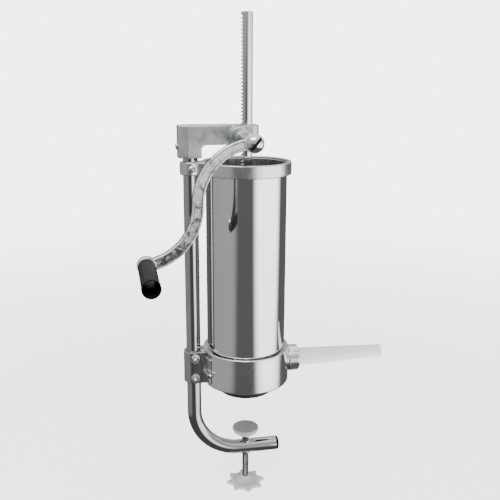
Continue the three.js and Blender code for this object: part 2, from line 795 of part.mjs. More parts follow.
function piston() {
  return [
    pistonPlate('piston_lower_plate', PISTON_BOTTOM, PISTON_BOTTOM + 8, 10),
    pistonSeal(PISTON_BOTTOM + 8 + GAP, PISTON_TOP - 4 - GAP),
    pistonPlate('piston_upper_plate', PISTON_TOP - 4, PISTON_TOP, 0),
    pistonNut(),
  ];
}

// ---------------------------------------------------------------- crank

// The arm's outline, seen along Y from the crank shaft's axis: two opposite bends of one width.
function armOutline() {
  const half = ARM_WIDTH / 2;
  const toBend = new THREE.Vector2(BEND_X - SHAFT_X, BEND_Z - SHAFT_Z);
  const toEye = new THREE.Vector2(EYE_X - SHAFT_X, EYE_Z - SHAFT_Z);
  const upper = toBend.lengthSq() / (2 * Math.abs(toBend.x));
  const step = toEye.clone().sub(toBend);
  const lower = step.lengthSq() / (2 * Math.abs(step.x));
  const upperX = toBend.x + upper;
  const lowerX = toBend.x - lower;
  const start = Math.atan2(-toBend.y, -upperX);
  const end = Math.atan2(toEye.y - toBend.y, toEye.x - lowerX);
  const outline = new THREE.Shape();
  outline.absarc(upperX, toBend.y, upper + half, start, Math.PI, false);
  outline.absarc(lowerX, toBend.y, lower - half, 0, end, true);
  outline.absarc(lowerX, toBend.y, lower + half, end, 0, false);
  outline.absarc(upperX, toBend.y, upper - half, Math.PI, start, true);
  return outline;
}

function crankArm() {
  const back = ARM_MIDDLE_Y + ARM_THICKNESS / 2;
  const front = ARM_MIDDLE_Y - ARM_THICKNESS / 2;
  const arm = extrudeY(armOutline(), front, back, 9);
  const hub = rodY(HUB_RADIUS, HUB_FRONT, HUB_BACK, MID_SIDES);
  const eye = rodY(EYE_RADIUS, front - 1.5, back, MID_SIDES).translate(EYE_X - SHAFT_X, 0, EYE_Z - SHAFT_Z);
  const bore = rodY(SHAFT_SEAT_RADIUS + GAP, HUB_FRONT - 1, HUB_BACK + 1, MID_SIDES);
  const tapped = rodY(GRIP_BOLT_RADIUS + GAP, front - 3, back - 2, SMALL_SIDES)
    .translate(EYE_X - SHAFT_X, 0, EYE_Z - SHAFT_Z);
  return part('crank_arm', cut(join(arm, hub, eye), bore, tapped), polishedAluminium);
}

const GRIP_BOLT_RADIUS = 4;

function crankWasher() {
  const face = HUB_FRONT - GAP;
  return part('crank_washer', latheY(ringProfile(CAP_SHANK_RADIUS + GAP, 9.5, face - 1.2, face)), steel);
}

function crankCapScrew() {
  const base = HUB_FRONT - 2 * GAP - 1.2;
  const radius = 10.5;
  const height = 7;
  const crown = arcPoints(0, 0, 1, 90, 0, 4).map(([x, y]) => [radius * x, base - height * y]);
  const profile = [...crown, [CAP_SHANK_RADIUS, base], [CAP_SHANK_RADIUS, HUB_FRONT + 12], [0, HUB_FRONT + 12]];
  profile[0][0] = 0;
  const slot = block([-12, 12], [base - height - 1, base - height + 3.4], [-1.6, 1.6])
    .rotateY(THREE.MathUtils.degToRad(-50));
  return part('crank_cap_screw', cut(latheY(profile), slot), chrome);
}

function gripBolt() {
  const head = GRIP_CAVITY + 1 - GAP;
  const profile = [
    [0, head - 5],
    [6.2, head - 5],
    [6.8, head - 4],
    [6.8, head],
    [GRIP_BOLT_RADIUS, head],
    [GRIP_BOLT_RADIUS, ARM_MIDDLE_Y + 2],
    [0, ARM_MIDDLE_Y + 2],
  ];
  const slot = block([-7, 7], [head - 6, head - 3.4], [-0.8, 0.8]);
  return part('grip_bolt', cut(latheY(profile, SMALL_SIDES), slot), steel);
}

const GRIP_CAVITY = -181;

function gripWasher() {
  const low = GRIP_START + GAP;
  return part('grip_washer', latheY(ringProfile(GRIP_BOLT_RADIUS + GAP, 8.5, low, low + 1), MID_SIDES), steel);
}

function grip() {
  const bore = GRIP_BOLT_RADIUS + 0.4;
  const cavity = 8.4;
  const profile = [
    [bore, GRIP_START],
    [bore, GRIP_CAVITY + 1],
    [cavity, GRIP_CAVITY + 1],
    [cavity, GRIP_END],
    [GRIP_RADIUS - 0.9, GRIP_END],
    [GRIP_RADIUS - 0.3, GRIP_END + 1.5],
    [GRIP_RADIUS - 0.6, (GRIP_START + GRIP_END) / 2],
    [GRIP_RADIUS, GRIP_START - 3],
    [GRIP_RADIUS - 0.8, GRIP_START],
    [bore, GRIP_START],
  ];
  return part('grip', latheY(profile), blackPlastic);
}

function crank() {
  const atEye = groupAt(EYE_X - SHAFT_X, 0, EYE_Z - SHAFT_Z, gripBolt(), gripWasher(), grip());
  return groupAt(
    SHAFT_X,
    0,
    SHAFT_Z,
    pinionGear(),
    pinionShaft(),
    crankArm(),
    crankWasher(),
    crankCapScrew(),
    atEye,
  );
}

// ---------------------------------------------------------------- spout

function spoutNut() {
  const lip = 3.4;
  const inside = SPOUT_THREAD_RADIUS + GAP;
  const mouth = TUBE_BIG_RADIUS + 0.4;
  const edge = 1.6;
  const profile = [
    [inside, NUT_START_X],
    [NUT_RADIUS - edge, NUT_START_X],
    [NUT_RADIUS, NUT_START_X + edge],
    [NUT_RADIUS, NUT_END_X - edge],
    [NUT_RADIUS - edge, NUT_END_X],
    [mouth, NUT_END_X],
    [mouth, NUT_END_X - lip],
    [inside, NUT_END_X - lip],
    [inside, NUT_START_X],
  ];
  const notches = [0, 1, 2, 3].map((i) => (
    rodX(3.2, NUT_START_X + 5, NUT_END_X + 1, 12)
      .translate(0, 0, NUT_RADIUS + 1.6)
      .rotateX(THREE.MathUtils.degToRad(45 + 90 * i))
  ));
  return part('spout_nut', cut(latheX(profile, 24), ...notches), polishedAluminium);
}

function spoutSeal() {
  const profile = ringProfile(SPOUT_BORE, SPOUT_THREAD_RADIUS - 0.5, SPOUT_END_X + GAP, SPOUT_END_X + 1.8);
  return part('spout_seal', latheX(profile), silicone);
}

// The filling tube's flange sits between the seal and the nut's lip.
function fillingTube() {
  const flangeBack = SPOUT_END_X + 2.1;
  const flangeFront = NUT_END_X - 3.4 - GAP;
  const bore = TUBE_BIG_RADIUS - FILLING_WALL;
  const profile = [
    [SPOUT_BORE, flangeBack],
    [SPOUT_THREAD_RADIUS, flangeBack],
    [SPOUT_THREAD_RADIUS, flangeFront],
    [TUBE_BIG_RADIUS, flangeFront],
    [TUBE_BIG_RADIUS - 0.2, NUT_END_X + 6],
    [TUBE_SMALL_RADIUS, TUBE_TIP_X],
    [TUBE_SMALL_RADIUS - FILLING_WALL, TUBE_TIP_X],
    [bore - 0.2, NUT_END_X + 6],
    [SPOUT_BORE, flangeBack],
  ];
  return part('filling_tube', latheX(profile), whitePlastic);
}

// ---------------------------------------------------------------- table clamp

function clampPad() {
  const socket = SPINDLE_RADIUS + GAP;
  const profile = [
    [0, PAD_TOP],
    [PAD_RADIUS - 0.8, PAD_TOP],
    [PAD_RADIUS, PAD_TOP - 0.8],
    [PAD_RADIUS, PAD_TOP - 4],
    [PAD_RADIUS - 1.6, PAD_TOP - 7],
    [PAD_RADIUS - 5, PAD_TOP - 9.2],
    [9.5, PAD_TOP - 10.8],
    [8, PAD_TOP - PAD_HEIGHT],
    [socket, PAD_TOP - PAD_HEIGHT],
    [socket, PAD_TOP - 4],
    [0, PAD_TOP - 4],
  ];
  return part('clamp_pad', lathe(profile, 24), greyPlastic);
}

// The spindle ends in a groove that a split ring in the pad rides in.
function clampSpindle() {
  const top = PAD_TOP - 4 - GAP;
  const profile = [
    [0, KNOB_Z - KNOB_THICKNESS],
    [KNOB_SEAT_RADIUS, KNOB_Z - KNOB_THICKNESS],
    [KNOB_SEAT_RADIUS, KNOB_Z + KNOB_HUB_HEIGHT + GAP],
    [SPINDLE_RADIUS, KNOB_Z + KNOB_HUB_HEIGHT + GAP],
    [SPINDLE_RADIUS, top - 0.8],
    [SPINDLE_RADIUS - 0.8, top],
    [0, top],
  ];
  return part('clamp_spindle', lathe(profile, SMALL_SIDES), steel);
}

function padClip() {
  const top = PAD_TOP - PAD_HEIGHT - GAP;
  const profile = ringProfile(SPINDLE_RADIUS + GAP, 7.6, top - 1.2, top);
  return part('pad_clip', lathe(profile, SMALL_SIDES), steel);
}

const KNOB_SEAT_RADIUS = 3.6;

// A thin disc with small round lobes and a hub on top.
function starKnob() {
  const outline = new THREE.Shape();
  const reach = THREE.MathUtils.degToRad(82);
  for (let lobe = 0; lobe < KNOB_LOBES; lobe += 1) {
    const angle = 2 * Math.PI * lobe / KNOB_LOBES;
    const x = KNOB_LOBE_CENTRE * Math.cos(angle);
    const y = KNOB_LOBE_CENTRE * Math.sin(angle);
    outline.absarc(x, y, KNOB_LOBE_RADIUS, angle - reach, angle + reach, false);
    const next = angle + Math.PI / KNOB_LOBES;
    outline.lineTo(KNOB_DISC_RADIUS * Math.cos(next), KNOB_DISC_RADIUS * Math.sin(next));
  }
  const disc = extrudeZ(outline, KNOB_Z - KNOB_THICKNESS / 2, KNOB_Z + KNOB_THICKNESS / 2, 5);
  const top = KNOB_Z + KNOB_HUB_HEIGHT;
  const hub = lathe([[0, KNOB_Z], [12, KNOB_Z + 2], [7.2, top - 5.5], [6.4, top], [0, top]], MID_SIDES);
  const bore = rodZ(KNOB_SEAT_RADIUS + GAP, KNOB_Z - 10, top + 1, SMALL_SIDES);
  const recess = rodZ(6.8, KNOB_Z - 10, KNOB_Z, MID_SIDES);
  return part('star_knob', cut(join(disc, hub), bore, recess), greyPlastic);
}

function knobNut() {
  const top = KNOB_Z - GAP;
  const body = rodZ(5.8, top - 4, top, 6);
  const hole = rodZ(KNOB_SEAT_RADIUS + GAP, top - 5, top + 1, SMALL_SIDES);
  return part('knob_nut', cut(body, hole), steel);
}

// ---------------------------------------------------------------- the whole stuffer

const stuffer = new THREE.Group();
stuffer.add(
  frameTube(),
  legEndPlug(),
  clampSleeve(),
  baseCup(),
  baseFoot(),
  footStud(),
  postSaddle(),
  ...saddleFasteners(),
  lockingPin(),
  cylinderGasket(),
  cylinder(),
  ringHolder(),
  ringScrew(),
  headCasting(),
  headScrew(),
  bearingCap(),
  ...capScrews(),
  bush('front_bush', JOURNAL_RADIUS, BEARING_FRONT, -9),
  bush('rear_bush', PINION_SEAT_RADIUS, 9.4, HEAD_HALF_WIDTH),
  rack(),
  ...piston(),
  crank(),
  groupAt(0, 0, SPOUT_Z, spoutNut(), spoutSeal(), fillingTube()),
  clampPad(),
  padClip(),
  clampSpindle(),
  starKnob(),
  knobNut(),
);

export default stuffer;
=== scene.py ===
"""Detailed visual model of a table-clamped sausage stuffer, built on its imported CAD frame.

Lengths in the helpers are millimetres in the CAD frame: origin under the foot on the cylinder's axis,
+X towards the filling tube, -Y towards the crank's side, +Z up. Every piece is written to the scene in
metres.
"""
import math

import bmesh
import bpy
from mathutils import Matrix, Vector


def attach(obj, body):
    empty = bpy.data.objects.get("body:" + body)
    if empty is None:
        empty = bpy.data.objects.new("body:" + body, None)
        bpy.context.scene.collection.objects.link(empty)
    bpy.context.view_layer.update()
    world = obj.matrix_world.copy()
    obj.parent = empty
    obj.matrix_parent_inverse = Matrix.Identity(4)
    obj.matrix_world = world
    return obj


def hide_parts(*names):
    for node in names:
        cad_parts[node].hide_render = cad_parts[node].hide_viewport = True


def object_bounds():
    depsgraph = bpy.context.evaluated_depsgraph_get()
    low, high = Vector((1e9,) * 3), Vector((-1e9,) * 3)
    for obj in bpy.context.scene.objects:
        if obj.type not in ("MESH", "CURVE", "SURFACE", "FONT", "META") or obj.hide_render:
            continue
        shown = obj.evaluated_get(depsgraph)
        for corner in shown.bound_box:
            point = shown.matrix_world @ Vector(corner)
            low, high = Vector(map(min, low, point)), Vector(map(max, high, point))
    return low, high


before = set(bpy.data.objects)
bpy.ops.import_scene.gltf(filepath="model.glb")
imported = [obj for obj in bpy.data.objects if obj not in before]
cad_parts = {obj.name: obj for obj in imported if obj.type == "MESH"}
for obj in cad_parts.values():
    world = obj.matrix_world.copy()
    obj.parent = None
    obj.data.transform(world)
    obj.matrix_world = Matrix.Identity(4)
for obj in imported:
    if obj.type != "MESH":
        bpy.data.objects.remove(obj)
CAD_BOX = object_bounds()
MM = 0.001

# ------------------------------------------------------------------ dimensions shared with the CAD model

POST_X, POST_TOP, TUBE_R, TUBE_WALL = -75.5, 372.0, 10.0, 1.6
POST_HOLE_R = 10.4
BEND_R, LEG_Z, LEG_END_X = 66.0, -96.0, 46.0
CUP_R, CUP_BOTTOM, CUP_TOP, SEAT_Z = 61.0, 15.8, 66.5, 57.5
CYL_R, CYL_BOTTOM, CYL_TOP = 55.0, 59.6, 327.5
BORE_R = 55.3
RING_R, RING_BOTTOM, RING_TOP, BLOCK_R = 61.0, 313.5, 330.5, 14.2
SHAFT_X, SHAFT_Z = -13.3, 364.0
MODULE, PRESSURE = 1.5, math.radians(20)
SPOUT_Z = 41.0
EYE_X, EYE_Z = -142.5, 222.0
BEND_X, BEND_Z = -80.2, 293.0


# ------------------------------------------------------------------ materials

def new_material(name):
    mat = bpy.data.materials.new(name)
    mat.use_nodes = True
    nodes = mat.node_tree.nodes
    return mat, nodes, mat.node_tree.links, nodes["Principled BSDF"]


def coords(nodes, links, scale=(1, 1, 1)):
    """Object coordinates in metres, stretched by scale."""
    tex = nodes.new("ShaderNodeTexCoord")
    mapping = nodes.new("ShaderNodeMapping")
    mapping.inputs["Scale"].default_value = scale
    links.new(tex.outputs["Object"], mapping.inputs["Vector"])
    return mapping.outputs["Vector"]


def noise(nodes, links, vector, scale, detail=3.0, rough=0.55, distortion=0.0):
    node = nodes.new("ShaderNodeTexNoise")
    node.inputs["Scale"].default_value = scale
    node.inputs["Detail"].default_value = detail
    node.inputs["Roughness"].default_value = rough
    node.inputs["Distortion"].default_value = distortion
    links.new(vector, node.inputs["Vector"])
    return node.outputs["Fac"]


def ramp(nodes, links, fac, stops):
    node = nodes.new("ShaderNodeValToRGB")
    elements = node.color_ramp.elements
    while len(elements) < len(stops):
        elements.new(0.5)
    for element, (position, colour) in zip(elements, stops):
        element.position = position
        element.color = (*colour, 1)
    links.new(fac, node.inputs["Fac"])
    return node.outputs["Color"]


def remap(nodes, links, value, low, high, start=0.35, end=0.65):
    node = nodes.new("ShaderNodeMapRange")
    node.inputs["From Min"].default_value = start
    node.inputs["From Max"].default_value = end
    node.inputs["To Min"].default_value = low
    node.inputs["To Max"].default_value = high
    links.new(value, node.inputs["Value"])
    return node.outputs["Result"]


def bump(nodes, links, bsdf, height, strength, distance, before=None):
    node = nodes.new("ShaderNodeBump")
    node.inputs["Strength"].default_value = strength
    node.inputs["Distance"].default_value = distance
    links.new(height, node.inputs["Height"])
    if before is not None:
        links.new(before, node.inputs["Normal"])
    links.new(node.outputs["Normal"], bsdf.inputs["Normal"])
    return node.outputs["Normal"]


def metal(name, dark, light, rough, mottling=30.0, stretch=(1, 1, 1), grain=0.0, grain_scale=900.0,
          spread=0.18):
    """Metal whose colour and roughness vary in soft patches, with an optional fine grain. A small spread
    makes the patches' edges harder."""
    mat, nodes, links, bsdf = new_material(name)
    bsdf.inputs["Metallic"].default_value = 1.0
    where = coords(nodes, links, stretch)
    patches = noise(nodes, links, where, mottling, 4.0, 0.6, 0.4)
    colour = ramp(nodes, links, patches, [(0.5 - spread, dark), (0.5 + spread, light)])
    links.new(colour, bsdf.inputs["Base Color"])
    fine = noise(nodes, links, where, mottling * 7, 3.0)
    links.new(remap(nodes, links, fine, *rough), bsdf.inputs["Roughness"])
    if grain:
        bump(nodes, links, bsdf, noise(nodes, links, where, grain_scale, 3.0, 0.6), grain, 0.0004)
    return mat


def plastic(name, dark, light, rough, grain=0.08, subsurface=0.0, ior=1.45):
    """Moulded plastic or rubber with a slight grain and colour variation."""
    mat, nodes, links, bsdf = new_material(name)
    where = coords(nodes, links)
    patches = noise(nodes, links, where, 60.0, 3.0)
    links.new(ramp(nodes, links, patches, [(0.3, dark), (0.7, light)]), bsdf.inputs["Base Color"])
    fine = noise(nodes, links, where, 700.0, 2.0)
    links.new(remap(nodes, links, fine, *rough), bsdf.inputs["Roughness"])
    bump(nodes, links, bsdf, fine, grain, 0.0003)
    if subsurface:
        bsdf.inputs["Subsurface Weight"].default_value = subsurface
        bsdf.inputs["Subsurface Radius"].default_value = (1.0, 0.95, 0.85)
        bsdf.inputs["Subsurface Scale"].default_value = 0.004
    bsdf.inputs["IOR"].default_value = ior
    return mat


def crank_metal(name, shift, slope):
    """Polished casting with dark mottled patches, more of them where shift is low. By slope the patches thin
    out towards the hub: painted shade, darker towards the grip end.
    """
    mat, nodes, links, bsdf = new_material(name)
    bsdf.inputs["Metallic"].default_value = 0.85
    where = coords(nodes, links)
    split = nodes.new("ShaderNodeSeparateXYZ")
    links.new(where, split.inputs["Vector"])
    # Painted shade: the arm grows darker towards the grip end and lighter towards the hub, by height.
    rise = nodes.new("ShaderNodeMapRange")
    grip_end, hub_end = 0.23, 0.36
    rise.inputs["From Min"].default_value = grip_end
    rise.inputs["From Max"].default_value = hub_end
    rise.inputs["To Min"].default_value = shift
    rise.inputs["To Max"].default_value = shift + slope
    links.new(split.outputs["Z"], rise.inputs["Value"])
    total = nodes.new("ShaderNodeMath")
    links.new(noise(nodes, links, where, 110.0, 6.0, 0.68, 0.5), total.inputs[0])
    links.new(rise.outputs["Result"], total.inputs[1])
    tones = [(0.40, (0.10, 0.11, 0.11)), (0.50, (0.58, 0.59, 0.58)), (0.60, (0.90, 0.90, 0.90))]
    links.new(ramp(nodes, links, total.outputs[0], tones), bsdf.inputs["Base Color"])
    fine = noise(nodes, links, where, 220.0, 3.0)
    links.new(remap(nodes, links, fine, 0.28, 0.46), bsdf.inputs["Roughness"])
    soft = bump(nodes, links, bsdf, noise(nodes, links, where, 75.0, 4.0), 0.35, 0.0014)
    bump(nodes, links, bsdf, noise(nodes, links, where, 900.0, 3.0), 0.05, 0.0004, soft)
    return mat


MATS = {
    "tube": metal("dark_chrome", (0.40, 0.42, 0.42), (0.52, 0.54, 0.54), (0.035, 0.075), 22, (1, 1, 0.15)),
    "chrome": metal("chrome_plate", (0.66, 0.68, 0.69), (0.82, 0.83, 0.84), (0.05, 0.10), 22, (1, 1, 0.15)),
    "cylinder": metal("polished_steel", (0.80, 0.80, 0.79), (0.90, 0.90, 0.89), (0.03, 0.075), 26,
                      (1, 1, 0.06), 0.018, 1200),
    "steel": metal("zinc_steel", (0.66, 0.66, 0.65), (0.80, 0.79, 0.76), (0.14, 0.24), 60),
    "cup": metal("polished_aluminium", (0.72, 0.73, 0.73), (0.88, 0.88, 0.87), (0.09, 0.18), 30, grain=0.02,
                 grain_scale=500),
    "ring": metal("satin_aluminium", (0.66, 0.66, 0.65), (0.80, 0.80, 0.78), (0.24, 0.32), 22, (1, 1, 0.5),
                  0.02, 500),
    "cast": metal("cast_aluminium", (0.44, 0.47, 0.46), (0.86, 0.87, 0.85), (0.28, 0.40), 30, grain=0.06,
                  grain_scale=420, spread=0.10),
    "inside": metal("inner_steel", (0.44, 0.45, 0.44), (0.60, 0.60, 0.59), (0.22, 0.34), 26, (1, 1, 0.06)),
    "dark": metal("rolled_steel", (0.40, 0.41, 0.41), (0.52, 0.53, 0.53), (0.12, 0.20), 20, (1, 1, 0.3)),
    "spindle": metal("oiled_steel", (0.09, 0.10, 0.10), (0.19, 0.20, 0.20), (0.20, 0.32), 60),
    # Painted shade: near black for the floor of the dome screw's slot, so that the slot reads deep.
    "slot": metal("slot_floor", (0.01, 0.01, 0.01), (0.03, 0.03, 0.03), (0.4, 0.6), 160),
    # Painted shade: the clamp pad is a darker grey than the knob, standing in for the shade under the table
    # top.
    "pad": plastic("pad_grey_painted_shade", (0.27, 0.28, 0.27), (0.36, 0.37, 0.36), (0.45, 0.6), 0.1),
    # Painted shade: near black metal on the crank arm's sides, grooves and back.
    "shaded_sides": metal("near_black_painted_shade", (0.07, 0.07, 0.08), (0.26, 0.26, 0.27), (0.30, 0.50), 160, grain=0.10),
    "bronze": metal("bearing_bronze", (0.40, 0.26, 0.11), (0.62, 0.42, 0.20), (0.25, 0.4), 90, grain=0.05),
    # Crank arm: mottled polished casting, with painted shade darker towards the grip end.
    "crank": crank_metal("crank_metal", 0.07, 0.05),
    # A darker copy for the trough between the rails: painted shade in the recess, growing lighter towards the
    # hub.
    "trough": crank_metal("crank_trough_painted_shade", -0.09, 0.20),
    "black": plastic("black_plastic", (0.004, 0.004, 0.004), (0.010, 0.010, 0.011), (0.24, 0.36), 0.08,
                     ior=1.16),
    "rubber": plastic("black_rubber", (0.006, 0.006, 0.006), (0.014, 0.014, 0.014), (0.6, 0.8), 0.25),
    "grey": plastic("knob_plastic", (0.50, 0.52, 0.48), (0.62, 0.64, 0.60), (0.35, 0.5), 0.08, 0.35),
    "white": plastic("white_plastic", (0.88, 0.89, 0.89), (0.93, 0.93, 0.93), (0.24, 0.36), 0.04, 0.5),
    "silicone": plastic("silicone", (0.66, 0.68, 0.68), (0.76, 0.77, 0.77), (0.4, 0.55), 0.05, 0.3),
}


# ------------------------------------------------------------------ mesh helpers

def fillet(points, radii, steps=4, closed=False):
    """Rounds the corners of a 2-D line. radii is one radius, or one for each point."""
    count = len(points)
    if not isinstance(radii, (list, tuple)):
        radii = [radii] * count
    out = []
    for i, point in enumerate(points):
        here = Vector(point)
        if radii[i] <= 0 or (not closed and i in (0, count - 1)):
            out.append(tuple(here))
            continue
        before = Vector(points[i - 1]) - here
        after = Vector(points[(i + 1) % count]) - here
        if before.length < 1e-6 or after.length < 1e-6:
            out.append(tuple(here))
            continue
        half = before.angle(after) / 2
        if half > math.radians(88):
            out.append(tuple(here))
            continue
        reach = min(radii[i] / math.tan(half), before.length * 0.48, after.length * 0.48)
        radius = reach * math.tan(half)
        start = here + before.normalized() * reach
        end = here + after.normalized() * reach
        centre = here + (before.normalized() + after.normalized()).normalized() * (radius / math.sin(half))
        a0 = math.atan2(start.y - centre.y, start.x - centre.x)
        a1 = math.atan2(end.y - centre.y, end.x - centre.x)
        sweep = (a1 - a0 + math.pi) % (2 * math.pi) - math.pi
        for k in range(steps + 1):
            a = a0 + sweep * k / steps
            out.append((centre.x + radius * math.cos(a), centre.y + radius * math.sin(a)))
    return out


def arc(cx, cy, radius, a0, a1, steps):
    """Points of an arc, with its angles in degrees."""
    out = []
    for k in range(steps + 1):
        a = math.radians(a0 + (a1 - a0) * k / steps)
        out.append((cx + radius * math.cos(a), cy + radius * math.sin(a)))
    return out


def revolve(profile, axis="Z", at=(0, 0, 0), segs=96, shape=None):
    """A body turned about an axis. shape(radius, angle, height) may change the radius."""
    turn = {
        "Z": lambda r, a, h: (r * math.cos(a), r * math.sin(a), h),
        "Y": lambda r, a, h: (r * math.cos(a), h, r * math.sin(a)),
        "X": lambda r, a, h: (h, r * math.cos(a), r * math.sin(a)),
    }[axis]
    verts, rows, faces = [], [], []
    loop = math.dist(profile[0], profile[-1]) < 1e-6
    points = profile[:-1] if loop else profile
    for radius, height in points:
        if radius < 1e-6:
            rows.append([len(verts)] * segs)
            verts.append(turn(0, 0, height))
            continue
        row = []
        for k in range(segs):
            a = 2 * math.pi * k / segs
            r = shape(radius, a, height) if shape else radius
            row.append(len(verts))
            verts.append(turn(r, a, height))
        rows.append(row)
    pairs = list(zip(rows, rows[1:])) + ([(rows[-1], rows[0])] if loop else [])
    for low, high in pairs:
        for k in range(segs):
            n = (k + 1) % segs
            face = [low[k], low[n], high[n], high[k]]
            face = [v for i, v in enumerate(face) if v not in face[:i]]
            if len(face) > 2:
                faces.append(face)
    return [tuple(v[i] + at[i] for i in range(3)) for v in verts], faces


def merge(*parts):
    """Several (verts, faces) as one."""
    verts, faces = [], []
    for v, f in parts:
        base = len(verts)
        verts += v
        faces += [[i + base for i in face] for face in f]
    return verts, faces


def strips(rows, size, loop=False):
    """Faces between rows of size points: the rows closed to a loop, or open with both ends filled."""
    faces = []
    for i in range(rows if loop else rows - 1):
        j = (i + 1) % rows
        for k in range(size):
            n = (k + 1) % size
            faces.append([i * size + k, i * size + n, j * size + n, j * size + k])
    if not loop:
        faces.append(list(reversed(range(size))))
        faces.append([(rows - 1) * size + k for k in range(size)])
    return faces


def moved(part, matrix):
    return [tuple(matrix @ Vector(v)) for v in part[0]], part[1]


def as_object(part, name, angle=32.0):
    """A mesh object from (verts in mm, faces), outward normals, smooth between soft edges."""
    mesh = bpy.data.meshes.new(name)
    mesh.from_pydata([tuple(c * MM for c in v) for v in part[0]], [], part[1])
    work = bmesh.new()
    work.from_mesh(mesh)
    bmesh.ops.recalc_face_normals(work, faces=work.faces)
    work.to_mesh(mesh)
    work.free()
    obj = bpy.data.objects.new(name, mesh)
    bpy.context.scene.collection.objects.link(obj)
    shade(obj, angle)
    return obj


def shade(obj, angle=32.0):
    mesh = obj.data
    mesh.polygons.foreach_set("use_smooth", [True] * len(mesh.polygons))
    mesh.set_sharp_from_angle(angle=math.radians(angle))
    mesh.update()


def applied(obj):
    """The object with its modifiers made real."""
    graph = bpy.context.evaluated_depsgraph_get()
    mesh = bpy.data.meshes.new_from_object(obj.evaluated_get(graph))
    obj.modifiers.clear()
    obj.data = mesh
    return obj


def boolean(obj, other, operation="DIFFERENCE"):
    mod = obj.modifiers.new("cut", "BOOLEAN")
    mod.operation = operation
    mod.solver = "EXACT"
    mod.object = other
    applied(obj)
    bpy.data.objects.remove(other, do_unlink=True)
    return obj


def plate(loops, low, high, bevel, plane="XY", steps=3):
    """Closed outlines in mm, the first the outer one, filled and given thickness with rounded edges."""
    curve = bpy.data.curves.new("outline", "CURVE")
    curve.dimensions = "2D"
    curve.fill_mode = "BOTH"
    half = (high - low) / 2
    curve.extrude = (half - bevel) * MM
    curve.bevel_depth = bevel * MM
    curve.bevel_resolution = steps
    curve.offset = -bevel * MM
    for loop in loops:
        spline = curve.splines.new("POLY")
        spline.points.add(len(loop) - 1)
        for point, (x, y) in zip(spline.points, loop):
            point.co = (x * MM, y * MM, 0, 1)
        spline.use_cyclic_u = True
    temp = bpy.data.objects.new("outline", curve)
    bpy.context.scene.collection.objects.link(temp)
    bpy.context.view_layer.update()
    graph = bpy.context.evaluated_depsgraph_get()
    mesh = bpy.data.meshes.new_from_object(temp.evaluated_get(graph))
    middle = (low + high) / 2
    verts = []
    for v in mesh.vertices:
        x, y, z = v.co / MM
        verts.append((x, y, z + middle) if plane == "XY" else (x, middle - z, y))
    faces = [list(p.vertices) for p in mesh.polygons]
    bpy.data.objects.remove(temp, do_unlink=True)
    bpy.data.meshes.remove(mesh)
    obj = as_object((verts, faces), "plate")
    work = bmesh.new()
    work.from_mesh(obj.data)
    bmesh.ops.remove_doubles(work, verts=work.verts, dist=1e-6)
    bmesh.ops.recalc_face_normals(work, faces=work.faces)
    work.to_mesh(obj.data)
    work.free()
    shade(obj)
    return obj


def data_of(obj):
    """An object's mesh as (verts in mm, faces), and the object removed."""
    verts = [tuple(v.co / MM) for v in obj.data.vertices]
    faces = [list(p.vertices) for p in obj.data.polygons]
    bpy.data.objects.remove(obj, do_unlink=True)
    return verts, faces


def piece(obj, name, mat, body, slot, *nodes):
    """Names a piece, gives it its material, ties it to its body and hides the CAD nodes that it stands for.
    """
    obj.name = name
    obj.data.name = name
    obj.data.materials.clear()
    obj.data.materials.append(MATS[mat])
    weighted = obj.modifiers.new("weighted", "WEIGHTED_NORMAL")
    weighted.keep_sharp = True
    applied(obj)
    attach(obj, body)
    if nodes:
        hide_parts(*nodes)
    return obj


def turned(name, profile, mat, body, slot, *nodes, axis="Z", at=(0, 0, 0), segs=96, shape=None):
    part = revolve(profile, axis, at, segs, shape)
    return piece(as_object(part, name), name, mat, body, slot, *nodes)


def box_part(x, y, z):
    verts = [(a, b, c) for a in x for b in y for c in z]
    faces = [[0, 1, 3, 2], [4, 6, 7, 5], [0, 4, 5, 1], [2, 3, 7, 6], [0, 2, 6, 4], [1, 5, 7, 3]]
    return verts, faces


def ring_profile(inner, outer, low, high, edge=0.25, steps=2):
    points = [(inner, low), (outer, low), (outer, high), (inner, high)]
    rounded = fillet(points, edge, steps, closed=True)
    return rounded + [rounded[0]]


# ------------------------------------------------------------------ bent tube

def tube_path():
    """Centre line as (x, z, angle of travel)."""
    cx, cz = POST_X + BEND_R, LEG_Z + BEND_R
    path = [(POST_X, z, -90.0) for z in (POST_TOP, POST_TOP - 0.6)]
    path += [(POST_X, POST_TOP + (cz - POST_TOP) * k / 8, -90.0) for k in range(1, 8)]
    for k in range(37):
        a = 180 + 90 * k / 36
        t = math.radians(a)
        path.append((cx + BEND_R * math.cos(t), cz + BEND_R * math.sin(t), a - 270))
    path += [(cx + (LEG_END_X - cx) * k / 4, LEG_Z, 0.0) for k in range(1, 4)]
    path += [(LEG_END_X - 0.6, LEG_Z, 0.0), (LEG_END_X, LEG_Z, 0.0)]
    return path


def build_frame_tube():
    segs = 64
    path = tube_path()
    rows = []
    last = len(path) - 1
    for i, station in enumerate(path):
        rows.append((station, TUBE_R - (0.5 if i in (0, last) else 0)))
    for station in reversed(path):
        rows.append((station, TUBE_R - TUBE_WALL))
    verts = []
    for (x, z, angle), radius in rows:
        a = math.radians(angle)
        side = (-math.sin(a), math.cos(a))
        for k in range(segs):
            t = 2 * math.pi * k / segs
            out = radius * math.cos(t)
            verts.append((x + side[0] * out, radius * math.sin(t), z + side[1] * out))
    obj = as_object((verts, strips(len(rows), segs, loop=True)), "bent_tube", 40)
    piece(obj, "bent_tube", "tube", "frame", "chrome_tube", "frame_tube")
    inside = TUBE_R - TUBE_WALL - 0.3
    profile = fillet([(0, -12), (inside, -12), (inside, 0.3), (10, 0.3), (10, 2.4), (8, 3.7), (0, 3.8)],
                     [0, 0.5, 0, 0.3, 0.8, 1.2, 0], 4)
    turned("leg_cap", profile, "black", "frame", "black_plastic", "leg_end_plug", axis="X",
           at=(LEG_END_X, 0, LEG_Z), segs=64)
    turned("clamp_boss", ring_profile(5.1, 7, -10, 10, 0.5), "steel", "frame", "steel", "clamp_sleeve",
           at=(0, 0, LEG_Z), segs=48)


# ------------------------------------------------------------------ base

